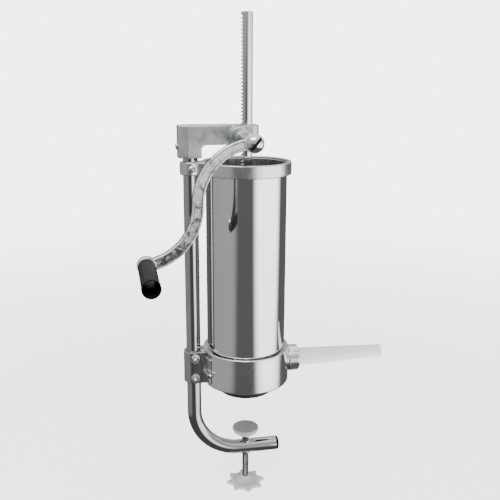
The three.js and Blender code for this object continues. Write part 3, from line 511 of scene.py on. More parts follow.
def build_base():
    recess, ledge, bowl_r, floor_z = 58.4, 61.5, 50, 24
    outer = fillet([(0, CUP_BOTTOM), (CUP_R, CUP_BOTTOM), (CUP_R, CUP_TOP), (recess, CUP_TOP),
                    (recess, ledge), (BORE_R, ledge), (BORE_R, SEAT_Z), (bowl_r, SEAT_Z), (bowl_r, floor_z),
                    (0, floor_z)],
                   [0, 2.5, 1.6, 0.9, 0.4, 0.3, 0.2, 0.6, 8, 0], 6)
    bowl = revolve(outer, segs=160)
    boss = revolve(fillet([(11, 48), (17.5, 56), (15.5, 60.5), (15.5, 67.6), (11, 67.6), (11, 48)], 0, 1),
                   "X", (0, 0, SPOUT_Z), 64)
    reach = 27
    outline = arc(0, 0, 62.3, 180 - reach, 180 + reach, 24) + arc(0, 0, 56, 180 + reach, 180 - reach, 24)
    pad = data_of(plate([outline], 21, 58, 0.8))
    lug = fillet([(-65.1, -10.05), (-56, -10.05), (-56, 10.05), (-65.1, 10.05)], [1, 0, 0, 1], 4, True)
    lug = data_of(plate([lug], 21, 61.5, 0.6))
    cup = as_object(merge(bowl, boss, pad, lug), "cup_shell")
    piece(cup, "cup_shell", "cup", "frame", "polished_aluminium", "base_cup")

    foot = fillet([(0, 0), (39, 0), (39, 15.5), (3, 15.5), (3, 5.7), (0, 5.7)], [0, 1.6, 0.5, 0.2, 0, 0], 4)
    turned("foot", foot, "rubber", "frame", "black_rubber", "base_foot", segs=128)
    turned("foot_bolt", fillet([(0, 6), (2.7, 6), (2.7, 20.8), (0, 20.8)], 0.4, 2), "steel", "frame", "steel",
           "foot_stud", segs=32)

    turned("gasket", ring_profile(50.5, 54.7, 57.8, 59.3, 0.5), "silicone", "frame", "silicone",
           "cylinder_gasket", segs=128)


def hexagon(corner, low, high, bore=0.0, chamfer=0.55):
    """A chamfered hexagon along Y as (verts, faces): a nut when it has a bore, otherwise a bolt head."""
    flat = corner * math.cos(math.pi / 6)

    def limit(radius, angle, _height):
        near = (angle + math.pi / 6) % (math.pi / 3) - math.pi / 6
        return min(radius, flat / math.cos(near)) if radius > bore + 0.01 else radius

    crown = flat * 0.985
    outer = [(crown, low), (corner, low + chamfer), (corner, high - chamfer), (crown, high)]
    profile = [(bore, low)] + outer + [(bore, high)]
    if bore:
        profile.append((bore, low))
    return revolve(profile, "Y", segs=96, shape=limit)


def thread(radius, low, high, pitch, depth, segs=36):
    """A rod along Z with a helical thread cut in it and cone-shaped ends."""
    step = pitch / 6
    rows = int((high - low) / step) + 2
    verts = []
    for i in range(rows):
        z = min(low + i * step, high)
        edge = min(z - low, high - z)
        for k in range(segs):
            a = 2 * math.pi * k / segs
            phase = (z / pitch - k / segs) % 1.0
            ridge = depth * abs(2 * phase - 1)
            r = min(radius - ridge, radius - depth - 0.2 + edge)
            verts.append((r * math.cos(a), r * math.sin(a), z))
    return verts, strips(rows, segs)


def along_y(part):
    """A part made along Z turned to lie along Y."""
    return moved(part, Matrix.Rotation(math.radians(-90), 4, "X"))


def build_saddle():
    """A plate bent round the post, with its two legs trimmed to the cup, and what is bolted through it."""
    inner, trim_r = POST_HOLE_R, 61.3
    outer = inner + 3.4
    outline = [(POST_X + x, y) for x, y in arc(0, 0, outer, 270, 90, 32)]
    trim = [(-math.sqrt(trim_r ** 2 - y ** 2), y) for y in (outer, (outer + inner) / 2, inner)]
    outline += trim
    outline += [(POST_X + x, y) for x, y in arc(0, 0, inner, 90, 270, 32)]
    outline += [(x, -y) for x, y in reversed(trim)]
    wrap = plate([outline], 18, 64.5, 0.7)
    piece(wrap, "saddle", "dark", "frame", "steel", "post_saddle")

    face = outer + 0.3
    hex_r, hole_r = 5.7, 3.3
    for label, z, twist in (("lower", 26, -9), ("upper", 56, 12)):
        at = Matrix.Translation((POST_X, 0, z))
        head = moved(hexagon(hex_r, face, face + 4), at)
        shank = moved(along_y(thread(3, -24, face + 1, 1.0, 0.5)), at)
        bolt = as_object(merge(head, shank), "bolt")
        piece(bolt, f"saddle_screw_{label}", "steel", "frame", "steel", f"saddle_bolt_{label}")
        washer = revolve(ring_profile(hole_r, 6.3, -face - 1.2, -face, 0.25), "Y", (POST_X, 0, z), 64)
        piece(as_object(washer, "washer"), f"saddle_ring_{label}", "steel", "frame", "steel",
              f"saddle_washer_{label}")
        back = -face - 1.5
        spin = Matrix.Rotation(math.radians(twist), 4, "Y")
        nut = moved(hexagon(hex_r, back - 5, back, hole_r), at @ spin)
        piece(as_object(nut, "nut"), f"saddle_hex_{label}", "steel", "frame", "steel", f"saddle_nut_{label}")

    skew = math.radians(19)
    direction = Vector((math.sin(skew), -math.cos(skew), 0))
    turn = Vector((0, 0, 1)).rotation_difference(direction).to_matrix().to_4x4()
    profile = fillet([(0, 0), (1.6, 0), (1.6, 22.6), (2.15, 23.2), (2.15, 26.6), (1.2, 28), (0, 28)],
                     [0, 0.2, 0.2, 0.5, 0.8, 0.8, 0], 4)
    pin = moved(revolve(profile, segs=40), Matrix.Translation((-65.4, -7, 37)) @ turn)
    piece(as_object(pin, "pin"), "lock_pin", "steel", "frame", "steel", "locking_pin")


# ------------------------------------------------------------------ cylinder, ring

def build_cylinder():
    inner = CYL_R - 1
    wall = fillet([(inner, CYL_BOTTOM), (CYL_R, CYL_BOTTOM), (CYL_R, CYL_TOP), (inner, CYL_TOP)],
                  0.45, 3, True)
    shell = turned("cylinder_wall", wall + [wall[0]], "cylinder", "frame", "polished_steel", "cylinder",
                   segs=192)
    shell.data.materials.append(MATS["inside"])
    for face in shell.data.polygons:
        if math.hypot(face.center.x, face.center.y) / MM < inner + 0.2:
            face.material_index = 1


def build_ring():
    neck = 12.5
    a = math.degrees(math.asin(neck / RING_R))
    b = math.degrees(math.asin(neck / BLOCK_R))
    outline = arc(0, 0, RING_R, -180 + a + 4, 180 - a - 4, 140)
    outline += [(-58.4, 14.6), (-61.5, 12.9)]
    outline += [(POST_X + x, y) for x, y in arc(0, 0, BLOCK_R, b, 360 - b, 48)]
    outline += [(-61.5, -12.9), (-58.4, -14.6)]
    bore = list(reversed(arc(0, 0, BORE_R, 0, 357.5, 143)))
    hole = [(POST_X + x, y) for x, y in reversed(arc(0, 0, POST_HOLE_R, 0, 352.5, 47))]
    ring = plate([outline, bore, hole], RING_BOTTOM, RING_TOP, 1.3, steps=4)
    piece(ring, "ring_clamp", "ring", "frame", "cast_aluminium", "ring_holder")


def pan_screw(radius, shank, length):
    """A cross-slotted pan head screw along Y: underside at y = 0, tip at +length."""
    height = radius * 0.62
    profile = [(0, -height)]
    profile += [(radius * math.sin(t), -height * math.cos(t) ** 0.8) for t in
                [math.radians(a) for a in (15, 30, 45, 58, 70, 80, 87)]]
    profile += [(radius, -0.0), (shank, 0), (shank, length - 0.6), (shank - 0.6, length), (0, length)]
    screw = as_object(revolve(profile, "Y", segs=48), "screw")
    slot, thin, depth = radius * 0.6, radius * 0.14, height * 0.6
    across = as_object(box_part((-slot, slot), (-height - 1, -height + depth), (-thin, thin)), "a")
    boolean(screw, across)
    upright = as_object(box_part((-thin, thin), (-height - 1, -height + depth), (-slot, slot)), "b")
    boolean(screw, upright)
    return data_of(screw)


def add_screw(name, part, matrix, *nodes):
    piece(as_object(moved(part, matrix), name), name, "steel", "frame", "steel", *nodes)


# ------------------------------------------------------------------ head

def build_head():
    half = 15.0
    left, right, bottom, top, arm = -92.0, 15.4, 336.0, 378.3, 353.0
    side = fillet([(left, bottom), (-61.5, bottom), (-61.5, arm), (right, arm), (right, top), (left, top)],
                  [0.5, 0.5, 6, 0.5, 0.5, 0.5], 8, True)
    plan = [(left, -half + 5), (left + 11.5, -half)]
    plan += arc(right - 10, -half + 10, 10, 270, 360, 10) + arc(right - 10, half - 10, 10, 0, 90, 10)
    plan += [(left + 11.5, half), (left, half - 5)]
    body = plate([side], -half, half, 0.3, "XZ")
    boolean(body, plate([plan], bottom - 6, top + 6, 0.3), "INTERSECT")
    nose = fillet([(0, -25), (13.6, -25), (14, -15), (14, 14.8), (0, 14.8)], [0, 2.4, 0, 0.3, 0], 5)
    boolean(body, as_object(revolve(nose, "Y", (SHAFT_X, 0, SHAFT_Z), 72), "nose"), "UNION")
    remesh = body.modifiers.new("remesh", "REMESH")
    remesh.mode = "VOXEL"
    remesh.voxel_size = 0.65 * MM
    applied(body)
    soft = body.modifiers.new("soft", "SMOOTH")
    soft.factor = 0.5
    soft.iterations = 9
    applied(body)
    socket_top, rack_hole = 372.3, 8.45
    cuts = [
        revolve([(0, bottom - 2), (POST_HOLE_R, bottom - 2), (POST_HOLE_R, socket_top), (0, socket_top)],
                at=(POST_X, 0, 0), segs=64),
        revolve([(0, arm - 12), (rack_hole, arm - 12), (rack_hole, top + 3), (0, top + 3)], segs=64),
        revolve([(0, -30), (8.6, -30), (8.6, 0), (0, 0)], "Y", (SHAFT_X, 0, SHAFT_Z), 64),
        revolve([(0, -8.6), (10.1, -8.6), (10.1, 20), (0, 20)], "Y", (SHAFT_X, 0, SHAFT_Z), 64),
    ]
    for n, cutter in enumerate(cuts):
        boolean(body, as_object(cutter, f"hole_{n}"))
    shade(body, 38)
    piece(body, "head_body", "cast", "frame", "cast_aluminium", "head_casting")

    cap = fillet([(8.6, 15.3), (8.6, 9.2), (9.8, 9.2), (9.8, 15.3), (14, 15.3), (14, 18.5), (0, 18.5),
                  (0, 15.3)], [0, 0, 0, 0, 0.2, 1.1, 0, 0], 4)
    turned("rear_cap", cap, "cast", "frame", "cast_aluminium", "bearing_cap", axis="Y",
           at=(SHAFT_X, 0, SHAFT_Z), segs=72)
    for name, inner, low, high in (("front_bush", 6.3, -25, -9), ("rear_bush", 3.9, 9.4, 15)):
        turned(f"{name}_ring", ring_profile(inner, 8.3, low, high, 0.3), "bronze", "frame", "bronze", name,
               axis="Y", at=(SHAFT_X, 0, SHAFT_Z), segs=64)
    for n, offset in enumerate((-11.9, 11.9)):
        place = Matrix.Translation((SHAFT_X + offset, 18.9, SHAFT_Z)) @ Matrix.Rotation(math.pi, 4, "Z")
        spin = Matrix.Rotation(math.radians(20 + 35 * n), 4, "Y")
        add_screw(f"cap_fixing_{n + 1}", pan_screw(2.9, 1.4, 8), place @ spin, f"cap_screw_{n + 1}")
    place = Matrix.Translation((-92.3, 0, 351)) @ Matrix.Rotation(math.radians(-90), 4, "Z")
    place = place @ Matrix.Rotation(0.5, 4, "Y")
    add_screw("head_fixing", pan_screw(4.6, 2.4, 6.3), place, "head_clamp_screw")
    ring_middle = (RING_BOTTOM + RING_TOP) / 2
    place = Matrix.Translation((POST_X, -BLOCK_R - 0.3, ring_middle)) @ Matrix.Rotation(0.25, 4, "Y")
    add_screw("ring_fixing", pan_screw(4.6, 2.4, 4.2), place, "ring_clamp_screw")


# ------------------------------------------------------------------ rack, pinion, piston

def build_rack():
    """A round rod with trapezoid teeth cut in its -X side, all the way across."""
    pitch = math.pi * MODULE
    tip, root, line = 7.0, 3.8, 5.8
    slope = math.tan(PRESSURE)
    bottom, top, first = 201.3, 520.0, 205.0
    radius, segs = 8.0, 72
    levels = [(bottom, None, radius), (first - 0.01, None, radius), (first, tip, radius)]
    k = math.ceil((first + 3 - SHAFT_Z) / pitch)
    while SHAFT_Z + k * pitch < top - 2.5:
        z = SHAFT_Z + k * pitch
        at_tip = pitch / 4 + (tip - line) * slope
        at_root = pitch / 4 - (line - root) * slope
        levels += [(z - at_tip, tip, radius), (z - at_root, root, radius)]
        levels += [(z + at_root, root, radius), (z + at_tip, tip, radius)]
        k += 1
    levels += [(top - 0.7, tip, radius), (top, tip - 0.5, radius - 0.7)]
    verts = []
    for z, cut, r in levels:
        for k in range(segs):
            a = 2 * math.pi * k / segs
            x, y = r * math.cos(a), r * math.sin(a)
            if cut is not None and x < -cut:
                x = -cut
            verts.append((x, y, z))
    spigot = revolve(fillet([(0, 186), (4.8, 186), (4.8, 201.5), (0, 201.5)], 0.4, 2), segs=48)
    rod = as_object(merge((verts, strips(len(levels), segs)), spigot), "rack_rod", 25)
    piece(rod, "rack_rod", "chrome", "rack_and_piston", "polished_steel", "rack")


def build_piston():
    low, high, edge, hole = 184.0, 201.0, 53, 5.1
    body = "rack_and_piston"
    lower = fillet([(10, low), (edge, low), (edge, low + 8), (hole, low + 8), (hole, low + 6.4),
                    (10, low + 6.4)], [0.3, 1.4, 0.6, 0.2, 0, 0], 4, True)
    turned("piston_face", lower + [lower[0]], "white", body, "white_plastic", "piston_lower_plate", segs=128)
    seal = fillet([(hole, 192.3), (53.2, 192.3), (53.7, 193.2), (52.4, 194.5), (53.7, 195.8), (53.2, 196.7),
                   (hole, 196.7)], [0, 0.4, 0.4, 0.8, 0.4, 0.4, 0], 3, True)
    turned("piston_ring", seal + [seal[0]], "silicone", body, "silicone", "piston_seal", segs=128)
    upper = [(hole, 197), (edge, 197), (edge, high), (49, high), (48, 199.6), (20, 199.6), (18, high),
             (hole, high)]
    upper = fillet(upper, [0, 0.6, 0.8, 0.5, 0.6, 0.8, 0.8, 0], 3, True)
    turned("piston_back", upper + [upper[0]], "white", body, "white_plastic", "piston_upper_plate", segs=128)
    nut = moved(hexagon(9, low + 0.5, low + 6.1, hole), Matrix.Rotation(math.radians(90), 4, "X"))
    verts = [(x, y, abs(z)) for x, y, z in nut[0]]
    piece(as_object((verts, nut[1]), "nut"), "piston_hex", "steel", body, "steel", "piston_nut")


def involute(angle):
    return math.tan(angle) - angle


def build_pinion():
    teeth = 10
    base = MODULE * teeth / 2 * math.cos(PRESSURE)
    at_pitch = math.pi / (2 * teeth) + involute(PRESSURE)

    def half_tooth(r):
        flank = at_pitch - involute(math.acos(min(1, base / r))) - 0.18 / r
        return flank * (0.8 if r < base else 1)

    radii = [5.55, 5.9, 6.4, 7.05, 7.5, 8.0, 8.5, 9.0]
    outline = []
    for tooth in range(teeth):
        middle = 2 * math.pi * tooth / teeth
        for r, offset in [(r, -half_tooth(r)) for r in radii] + [(r, half_tooth(r)) for r in reversed(radii)]:
            outline.append((r * math.cos(middle + offset), r * math.sin(middle + offset)))
    outline = [(SHAFT_X + x, SHAFT_Z + z) for x, z in outline]
    bore = [(SHAFT_X + x, SHAFT_Z + z) for x, z in reversed(arc(0, 0, 3.9, 0, 345, 23))]
    gear = plate([outline, bore], -8, 8, 0.15, "XZ", 1)
    piece(gear, "pinion_wheel", "steel", "crank", "steel", "pinion_gear")

    shaft = fillet([(0, 14.6), (3.6, 14.6), (3.6, -8.9), (6, -8.9), (6, -25.4), (8.8, -25.4), (8.8, -39),
                    (8.1, -40.4), (8.1, -104), (6.4, -104), (6.4, -117.2), (2.7, -117.2), (2.7, -104),
                    (0, -104)],
                   [0, 0.5, 0, 0.5, 0, 0.7, 0.5, 0.5, 0.3, 0, 0.4, 0.2, 0, 0], 4)
    turned("crank_shaft", shaft, "chrome", "crank", "polished_steel", "pinion_shaft", axis="Y",
           at=(SHAFT_X, 0, SHAFT_Z), segs=80)


# ------------------------------------------------------------------ crank and grip

def arm_path(steps=44):
    """The arm's centre line as (x, z, angle of travel), from the hub to the eye."""
    dx, dz = BEND_X - SHAFT_X, BEND_Z - SHAFT_Z
    ex, ez = EYE_X - BEND_X, EYE_Z - BEND_Z
    upper = (dx * dx + dz * dz) / (2 * abs(dx))
    lower = (ex * ex + ez * ez) / (2 * abs(ex))
    ux, lx = BEND_X + upper, BEND_X - lower
    start = math.degrees(math.atan2(SHAFT_Z - BEND_Z, SHAFT_X - ux))
    end = math.degrees(math.atan2(ez, EYE_X - lx))
    path = []
    for k in range(steps + 1):
        a = math.radians(start + (180 - start) * k / steps)
        path.append((ux + upper * math.cos(a), BEND_Z + upper * math.sin(a), a + math.pi / 2))
    for k in range(1, steps + 1):
        a = math.radians(end * k / steps)
        path.append((lx + lower * math.cos(a), BEND_Z + lower * math.sin(a), a - math.pi / 2))
    return path


def slot_floor(screw, height):
    """Faces of a slot's flat floor, which lies at this height along Y."""
    return [face.index for face in screw.data.polygons
            if abs(face.center.y / MM - height) < 0.05 and abs(face.normal.y) > 0.999]


def build_crank():
    """The arm, a bar with a shallow trough between two rails on its front, then its washer and screw."""
    path = arm_path()
    count = len(path)
    middle_y, deep, rail = -111, 4.5, 2.0
    verts = []
    for i, (x, z, a) in enumerate(path):
        t = i / (count - 1)
        half = 6.6 + 0.9 * t
        section = [(-half, deep - 1.6), (-half + 1.6, deep), (half - 1.6, deep), (half, deep - 1.6),
                   (half, -deep + 1.3), (half - 0.9, -deep), (half - rail, -deep),
                   (half - rail - 0.8, -deep + 1.1), (-half + rail + 0.8, -deep + 1.1), (-half + rail, -deep),
                   (-half + 0.9, -deep), (-half, -deep + 1.3)]
        section = fillet(section, [0.8, 0.8, 0.8, 0.8, 0.6, 0.6, 0.3, 0.4, 0.4, 0.3, 0.6, 0.6], 3, True)
        side = (-math.sin(a), math.cos(a))
        for u, v in section:
            verts.append((x + side[0] * u, middle_y + v, z + side[1] * u))
    size = len(section)
    # Near black painted shade on the sides, grooves and back; darker painted shade on the trough's floor;
    # crank metal on the rails.
    slots = []
    for k, (u, v) in enumerate(section):
        next_u, next_v = section[(k + 1) % size]
        across, depth = abs(u + next_u) / 2, (v + next_v) / 2
        groove = half - rail - 1.0 < across < half - rail - 0.05 and depth > -deep + 0.1
        in_painted_shade = depth > -deep + 1.35 and across > half - 0.4 or groove or depth > 3
        slots.append(1 if in_painted_shade else 2 if across < half - rail - 0.5 else 0)
    hub = fillet([(6.7, -104.3), (11.2, -104.3), (11.5, -108), (11.5, -113), (10.9, -113.6), (10.9, -114.4),
                  (11.5, -115), (11.5, -118), (6.7, -118)],
                 [0.3, 1.2, 0.5, 0.3, 0.2, 0.2, 0.3, 0.9, 0.2], 3, True)
    hub = revolve(hub + [hub[0]], "Y", (SHAFT_X, 0, SHAFT_Z), 80)
    eye = fillet([(4.3, -106.5), (11.5, -106.5), (11.5, -117), (4.3, -117)], [0.2, 1.6, 1.2, 0.2], 4, True)
    eye = revolve(eye + [eye[0]], "Y", (EYE_X, 0, EYE_Z), 72)
    arm = as_object(merge((verts, strips(count, size)), hub, eye), "crank_bar", 30)
    piece(arm, "crank_bar", "crank", "crank", "polished_aluminium", "crank_arm")
    # Painted shade: near black sides, grooves and back, and a darker trough.
    arm.data.materials.append(MATS["shaded_sides"])
    arm.data.materials.append(MATS["trough"])
    for i in range((count - 1) * size):
        arm.data.polygons[i].material_index = slots[i % size]

    at = (SHAFT_X, 0, SHAFT_Z)
    turned("crank_disc", ring_profile(2.7, 9.5, -119.5, -118.3, 0.3), "steel", "crank", "steel",
           "crank_washer", axis="Y", at=at, segs=64)
    dome_r, rise, seat, slot_y = 10.5, 7.0, -119.8, -123.2
    dome = [(0, seat - rise)] + [(dome_r * math.sin(t), seat - rise * math.cos(t)) for t in
                                 [math.radians(a) for a in range(8, 81, 8)]]
    dome += [(dome_r, seat - 0.8), (10.3, seat), (2.4, seat), (2.4, -106.6), (1.9, -106), (0, -106)]
    screw = as_object(revolve(dome, "Y", at, 72), "dome")
    turn = Matrix.Translation(at) @ Matrix.Rotation(math.radians(-50), 4, "Y")
    boolean(screw, as_object(moved(box_part((-13, 13), (-130, slot_y), (-1.6, 1.6)), turn), "slot"))
    shade(screw, 30)
    floor = slot_floor(screw, slot_y)
    piece(screw, "crank_dome_screw", "chrome", "crank", "polished_steel", "crank_cap_screw")
    # Painted shade: the slot's floor gets the near black material.
    screw.data.materials.append(MATS["slot"])
    for i in floor:
        screw.data.polygons[i].material_index = 1


def build_grip():
    at = (EYE_X, 0, EYE_Z)
    flats, flats_from, flats_to = 14, -122.5, -199.5

    def ribbed(radius, angle, height):
        """Shallow lengthwise grooves that fade out towards both ends of the grip."""
        if radius < 9.4 or height < flats_to or height > flats_from:
            return radius
        near = (angle * flats / (2 * math.pi) + 0.5) % 1.0 - 0.5
        ease = min(1.0, (flats_from - height) / 3, (height - flats_to) / 2)
        return radius * (1 - 0.055 * abs(near) * 2 * ease)

    start, end, hollow = -118.6, -206.0, -180
    profile = [(4.4, start), (4.4, hollow), (8.9, hollow), (9.5, end + 0.6), (9.8, end)]
    profile += [(10.5, end), (10.8, end + 0.5), (10.8, end + 6.2), (10.5, end + 6.6), (10.5, end + 8.5)]
    profile += [(10.55 + 0.2 * k / 8, end + 8.5 + 74.5 * k / 8) for k in range(1, 9)]
    profile += [(10.8, start - 3), (10.4, start - 0.9), (9.7, start), (4.4, start)]
    turned("grip_sleeve", profile, "black", "grip", "black_plastic", "grip", axis="Y", at=at, segs=168,
           shape=ribbed)

    head = hollow - 0.3
    bolt = [(0, head - 5), (5.4, head - 5), (6.2, head - 4.6), (6.8, head - 3.6), (6.8, head - 0.3),
            (6.6, head), (4, head), (4, -109), (0, -109)]
    screw = as_object(revolve(bolt, "Y", at, 56), "bolt")
    boolean(screw, as_object(moved(box_part((-8, 8), (head - 6, head - 3.4), (-0.8, 0.8)),
                                   Matrix.Translation(at) @ Matrix.Rotation(0.9, 4, "Y")), "slot"))
    shade(screw, 30)
    piece(screw, "grip_spindle", "spindle", "crank", "steel", "grip_bolt")
    turned("grip_disc", ring_profile(4.3, 8.5, -118.3, -117.3, 0.2), "steel", "crank", "steel", "grip_washer",
           axis="Y", at=at, segs=64)


# ------------------------------------------------------------------ spout

def build_spout():
    at = (0, 0, SPOUT_Z)
    profile = fillet([(15.8, 62), (18.8, 62), (18.8, 76.6), (13.4, 76.6), (13.4, 73.2), (15.8, 73.2)],
                     [0.4, 1.2, 2.0, 0.6, 0.2, 0.2], 5, True)
    nut = as_object(revolve(profile + [profile[0]], "X", at, 120), "nut")
    for k in range(4):
        a = math.radians(45 + 90 * k)
        cutter = fillet([(0, 66.5), (3.2, 66.5), (3.2, 80), (0, 80)], [0, 0.8, 0, 0], 4)
        spot = (0, 20.4 * math.cos(a), SPOUT_Z + 20.4 * math.sin(a))
        boolean(nut, as_object(revolve(cutter, "X", spot, 40), "notch"))
    shade(nut, 32)
    piece(nut, "spout_ring", "cup", "spout_nut", "polished_aluminium", "spout_nut")
    turned("spout_gasket", ring_profile(11, 15, 67.9, 69.4, 0.4), "silicone", "frame", "silicone",
           "spout_seal", axis="X", at=at, segs=80)
    wall = 1.4
    tube = [(11, 69.7), (15.5, 69.7), (15.5, 72.9), (13, 72.9), (12.8, 82.6), (8.8, 205.4), (8.5, 206),
            (7.7, 206), (7.4, 205.4), (12.8 - wall, 82.6)]
    tube = fillet(tube, [0.2, 0.5, 0.5, 0, 0.6, 0, 0, 0, 0, 0.8], 3, True)
    turned("filling_pipe", tube + [tube[0]], "white", "filling_tube", "white_plastic", "filling_tube",
           axis="X", at=at, segs=96)


# ------------------------------------------------------------------ table clamp

def build_clamp():
    top = -64.0
    pad = fillet([(0, top), (19, top), (19, top - 4.5), (17.2, top - 7.2), (13.8, top - 9.3),
                  (9.5, top - 10.8), (8, top - 13.5), (5.1, top - 13.5), (5.1, top - 4), (0, top - 4)],
                 [0, 0.9, 1.2, 2, 3, 1.2, 0.7, 0.3, 0, 0], 4)
    # The pad's darker grey is painted shade.
    turned("pad", pad, "pad", "clamp_pad", "grey_plastic", "clamp_pad", segs=96)
    body = "clamp_screw"
    rod = thread(4.8, -145.2, -68.4, 1.5, 0.7)
    tail = revolve(fillet([(0, -160.3), (3.6, -160.3), (3.6, -144.9), (0, -144.9)], 0.5, 2), segs=40)
    spindle = as_object(merge(rod, tail), "spindle", 60)
    piece(spindle, "clamp_rod", "spindle", body, "steel", "clamp_spindle")
    turned("pad_ring", ring_profile(5.1, 7.6, -79, -77.8, 0.3), "steel", body, "steel", "pad_clip", segs=56)

    knob_z, lobe_at, lobe_r = -155.5, 25.3, 3.1
    outline = []
    for lobe in range(8):
        a = 45.0 * lobe
        x, y = lobe_at * math.cos(math.radians(a)), lobe_at * math.sin(math.radians(a))
        outline += arc(x, y, lobe_r, a - 96, a + 96, 14)
        for step in (-7, -3.5, 0, 3.5, 7):
            b = math.radians(a + 22.5 + step)
            dip = 21.7 + 0.024 * step * step
            outline.append((dip * math.cos(b), dip * math.sin(b)))
    bore = list(reversed(arc(0, 0, 3.9, 0, 350, 35)))
    disc = data_of(plate([outline, bore], knob_z - 2.6, knob_z + 2.6, 1.7, steps=5))
    crown = fillet([(3.9, knob_z + 2), (17, knob_z + 2), (12, knob_z + 3.4), (7.6, knob_z + 5),
                    (6.5, knob_z + 10), (3.9, knob_z + 10)], [0, 0, 3, 2, 0.9, 0.3], 4, True)
    knob = as_object(merge(disc, revolve(crown + [crown[0]], segs=72)), "knob")
    pocket = revolve([(0, knob_z - 9), (6.8, knob_z - 9), (6.8, knob_z), (0, knob_z)], segs=48)
    boolean(knob, as_object(pocket, "pocket"))
    shade(knob, 35)
    piece(knob, "lobed_knob", "grey", body, "grey_plastic", "star_knob")
    nut = moved(hexagon(5.8, 0.3, 4.3, 3.9), Matrix.Rotation(math.radians(90), 4, "X"))
    verts = [(x, y, knob_z - abs(z)) for x, y, z in nut[0]]
    piece(as_object((verts, nut[1]), "nut"), "knob_hex", "steel", body, "steel", "knob_nut")


# ------------------------------------------------------------------ studio

def fading_floor(height):
    """A pale floor that fades into the plain background well away from the object."""
    verts, faces = revolve([(0, 0), (200, 0), (700, 0), (1500, 0), (5000, 0)], segs=96)
    floor = as_object(([(v[0], v[1], height) for v in verts], faces), "floor")
    mat, nodes, links, bsdf = new_material("floor_paint")
    bsdf.inputs["Base Color"].default_value = (0.84, 0.84, 0.84, 1)
    bsdf.inputs["Roughness"].default_value = 0.6
    bsdf.inputs["Emission Color"].default_value = (1, 1, 1, 1)
    bsdf.inputs["Emission Strength"].default_value = 2.0
    tex = nodes.new("ShaderNodeTexCoord")
    distance = nodes.new("ShaderNodeVectorMath")
    distance.operation = "LENGTH"
    links.new(tex.outputs["Object"], distance.inputs[0])
    fade = nodes.new("ShaderNodeMapRange")
    fade.interpolation_type = "SMOOTHSTEP"
    fade.inputs["From Min"].default_value = 0.5
    fade.inputs["From Max"].default_value = 2.2
    links.new(distance.outputs["Value"], fade.inputs["Value"])
    clear = nodes.new("ShaderNodeBsdfTransparent")
    mix = nodes.new("ShaderNodeMixShader")
    links.new(fade.outputs["Result"], mix.inputs["Fac"])
    links.new(bsdf.outputs["BSDF"], mix.inputs[1])
    links.new(clear.outputs["BSDF"], mix.inputs[2])
    links.new(mix.outputs["Shader"], nodes["Material Output"].inputs["Surface"])
    floor.data.materials.append(mat)
    floor.visible_glossy = False


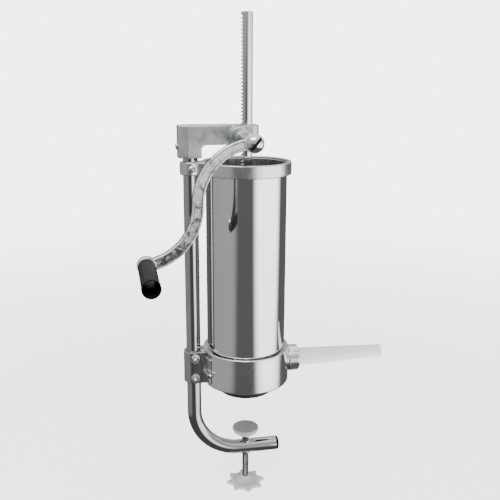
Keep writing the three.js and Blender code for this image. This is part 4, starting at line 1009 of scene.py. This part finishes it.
def studio_world():
    """Plain soft studio: a bright wide panel on the right, a dim one on the left, pale above, dark below."""
    world = bpy.data.worlds.new("studio")
    bpy.context.scene.world = world
    world.use_nodes = True
    nodes, links = world.node_tree.nodes, world.node_tree.links
    nodes.clear()
    tex = nodes.new("ShaderNodeTexCoord")
    split = nodes.new("ShaderNodeSeparateXYZ")
    links.new(tex.outputs["Generated"], split.inputs["Vector"])

    def blend(where, start, end, below, above):
        """One brightness up to a value, another above it, with a soft step between."""
        step = nodes.new("ShaderNodeMapRange")
        step.interpolation_type = "SMOOTHSTEP"
        step.inputs["From Min"].default_value = start
        step.inputs["From Max"].default_value = end
        links.new(where, step.inputs["Value"])
        for value, key in ((below, "To Min"), (above, "To Max")):
            if isinstance(value, float):
                step.inputs[key].default_value = value
            else:
                links.new(value, step.inputs[key])
        return step.outputs["Result"]

    def panel(side, edge, brightness, behind):
        """A wide soft-edged panel facing the object from a side in degrees, in front of what is behind it."""
        facing = nodes.new("ShaderNodeVectorMath")
        facing.operation = "DOT_PRODUCT"
        facing.inputs[1].default_value = (math.cos(math.radians(side)), math.sin(math.radians(side)), 0)
        links.new(tex.outputs["Generated"], facing.inputs[0])
        return blend(facing.outputs["Value"], edge - 0.16, edge + 0.10, behind, brightness)

    unlit, dim, bright, upper_wall, overhead = 0.12, 0.42, 3.2, 0.7, 1.7
    walls = panel(-180.0, 0.66, dim, unlit)
    walls = panel(-36.0, 0.80, bright, walls)
    walls = blend(split.outputs["Z"], -0.60, -0.44, unlit, walls)
    upper = blend(split.outputs["Z"], -0.10, 0.25, walls, upper_wall)
    ceiling = blend(split.outputs["Z"], 0.50, 0.86, upper, overhead)
    around = nodes.new("ShaderNodeBackground")
    links.new(ceiling, around.inputs["Color"])
    plain = nodes.new("ShaderNodeBackground")
    plain.inputs["Color"].default_value = (1, 1, 1, 1)
    plain.inputs["Strength"].default_value = 5.0
    path = nodes.new("ShaderNodeLightPath")
    mix = nodes.new("ShaderNodeMixShader")
    links.new(path.outputs["Is Camera Ray"], mix.inputs["Fac"])
    links.new(around.outputs["Background"], mix.inputs[1])
    links.new(plain.outputs["Background"], mix.inputs[2])
    out = nodes.new("ShaderNodeOutputWorld")
    links.new(mix.outputs["Shader"], out.inputs["Surface"])


def area_light(name, place, target, size, power):
    """A soft rectangular light at a place, in metres, turned towards its target."""
    light = bpy.data.lights.new(name, "AREA")
    light.shape = "RECTANGLE"
    light.size, light.size_y = size
    light.energy = power
    obj = bpy.data.objects.new(name, light)
    bpy.context.scene.collection.objects.link(obj)
    obj.location = place
    obj.rotation_euler = (Vector(target) - Vector(place)).to_track_quat("-Z", "Y").to_euler()
    return obj


def add_camera():
    """The camera at the chosen viewing angle: azimuth, downward pitch and roll in degrees."""
    azimuth, pitch, roll = math.radians(-11.67), math.radians(14.425), math.radians(0.275)
    right = Vector((math.cos(azimuth), math.sin(azimuth), 0))
    ahead = Vector((-math.sin(azimuth), math.cos(azimuth), 0))
    forward = ahead * math.cos(pitch) - Vector((0, 0, 1)) * math.sin(pitch)
    up = ahead * math.sin(pitch) + Vector((0, 0, 1)) * math.cos(pitch)
    tilted_right = right * math.cos(roll) + up * math.sin(roll)
    tilted_up = up * math.cos(roll) - right * math.sin(roll)
    camera = bpy.data.cameras.new("camera")
    camera.sensor_width = 36.0
    camera.lens = 48.61
    camera.clip_start = 0.01
    obj = bpy.data.objects.new("camera", camera)
    bpy.context.scene.collection.objects.link(obj)
    turn = Matrix((tilted_right, tilted_up, -forward)).transposed().to_4x4()
    obj.matrix_world = Matrix.Translation((-0.1782, -0.8899, 0.4399)) @ turn
    bpy.context.scene.camera = obj


add_camera()
studio_world()
area_light("key", (-0.5, -0.9, 1.7), (0, 0, 0.1), (1.4, 1.0), 20)
build_frame_tube()
build_base()
build_saddle()
build_cylinder()
build_ring()
build_head()
build_rack()
build_piston()
build_pinion()
build_crank()
build_grip()
build_spout()
build_clamp()
fading_floor(CAD_BOX[0][2] / MM)
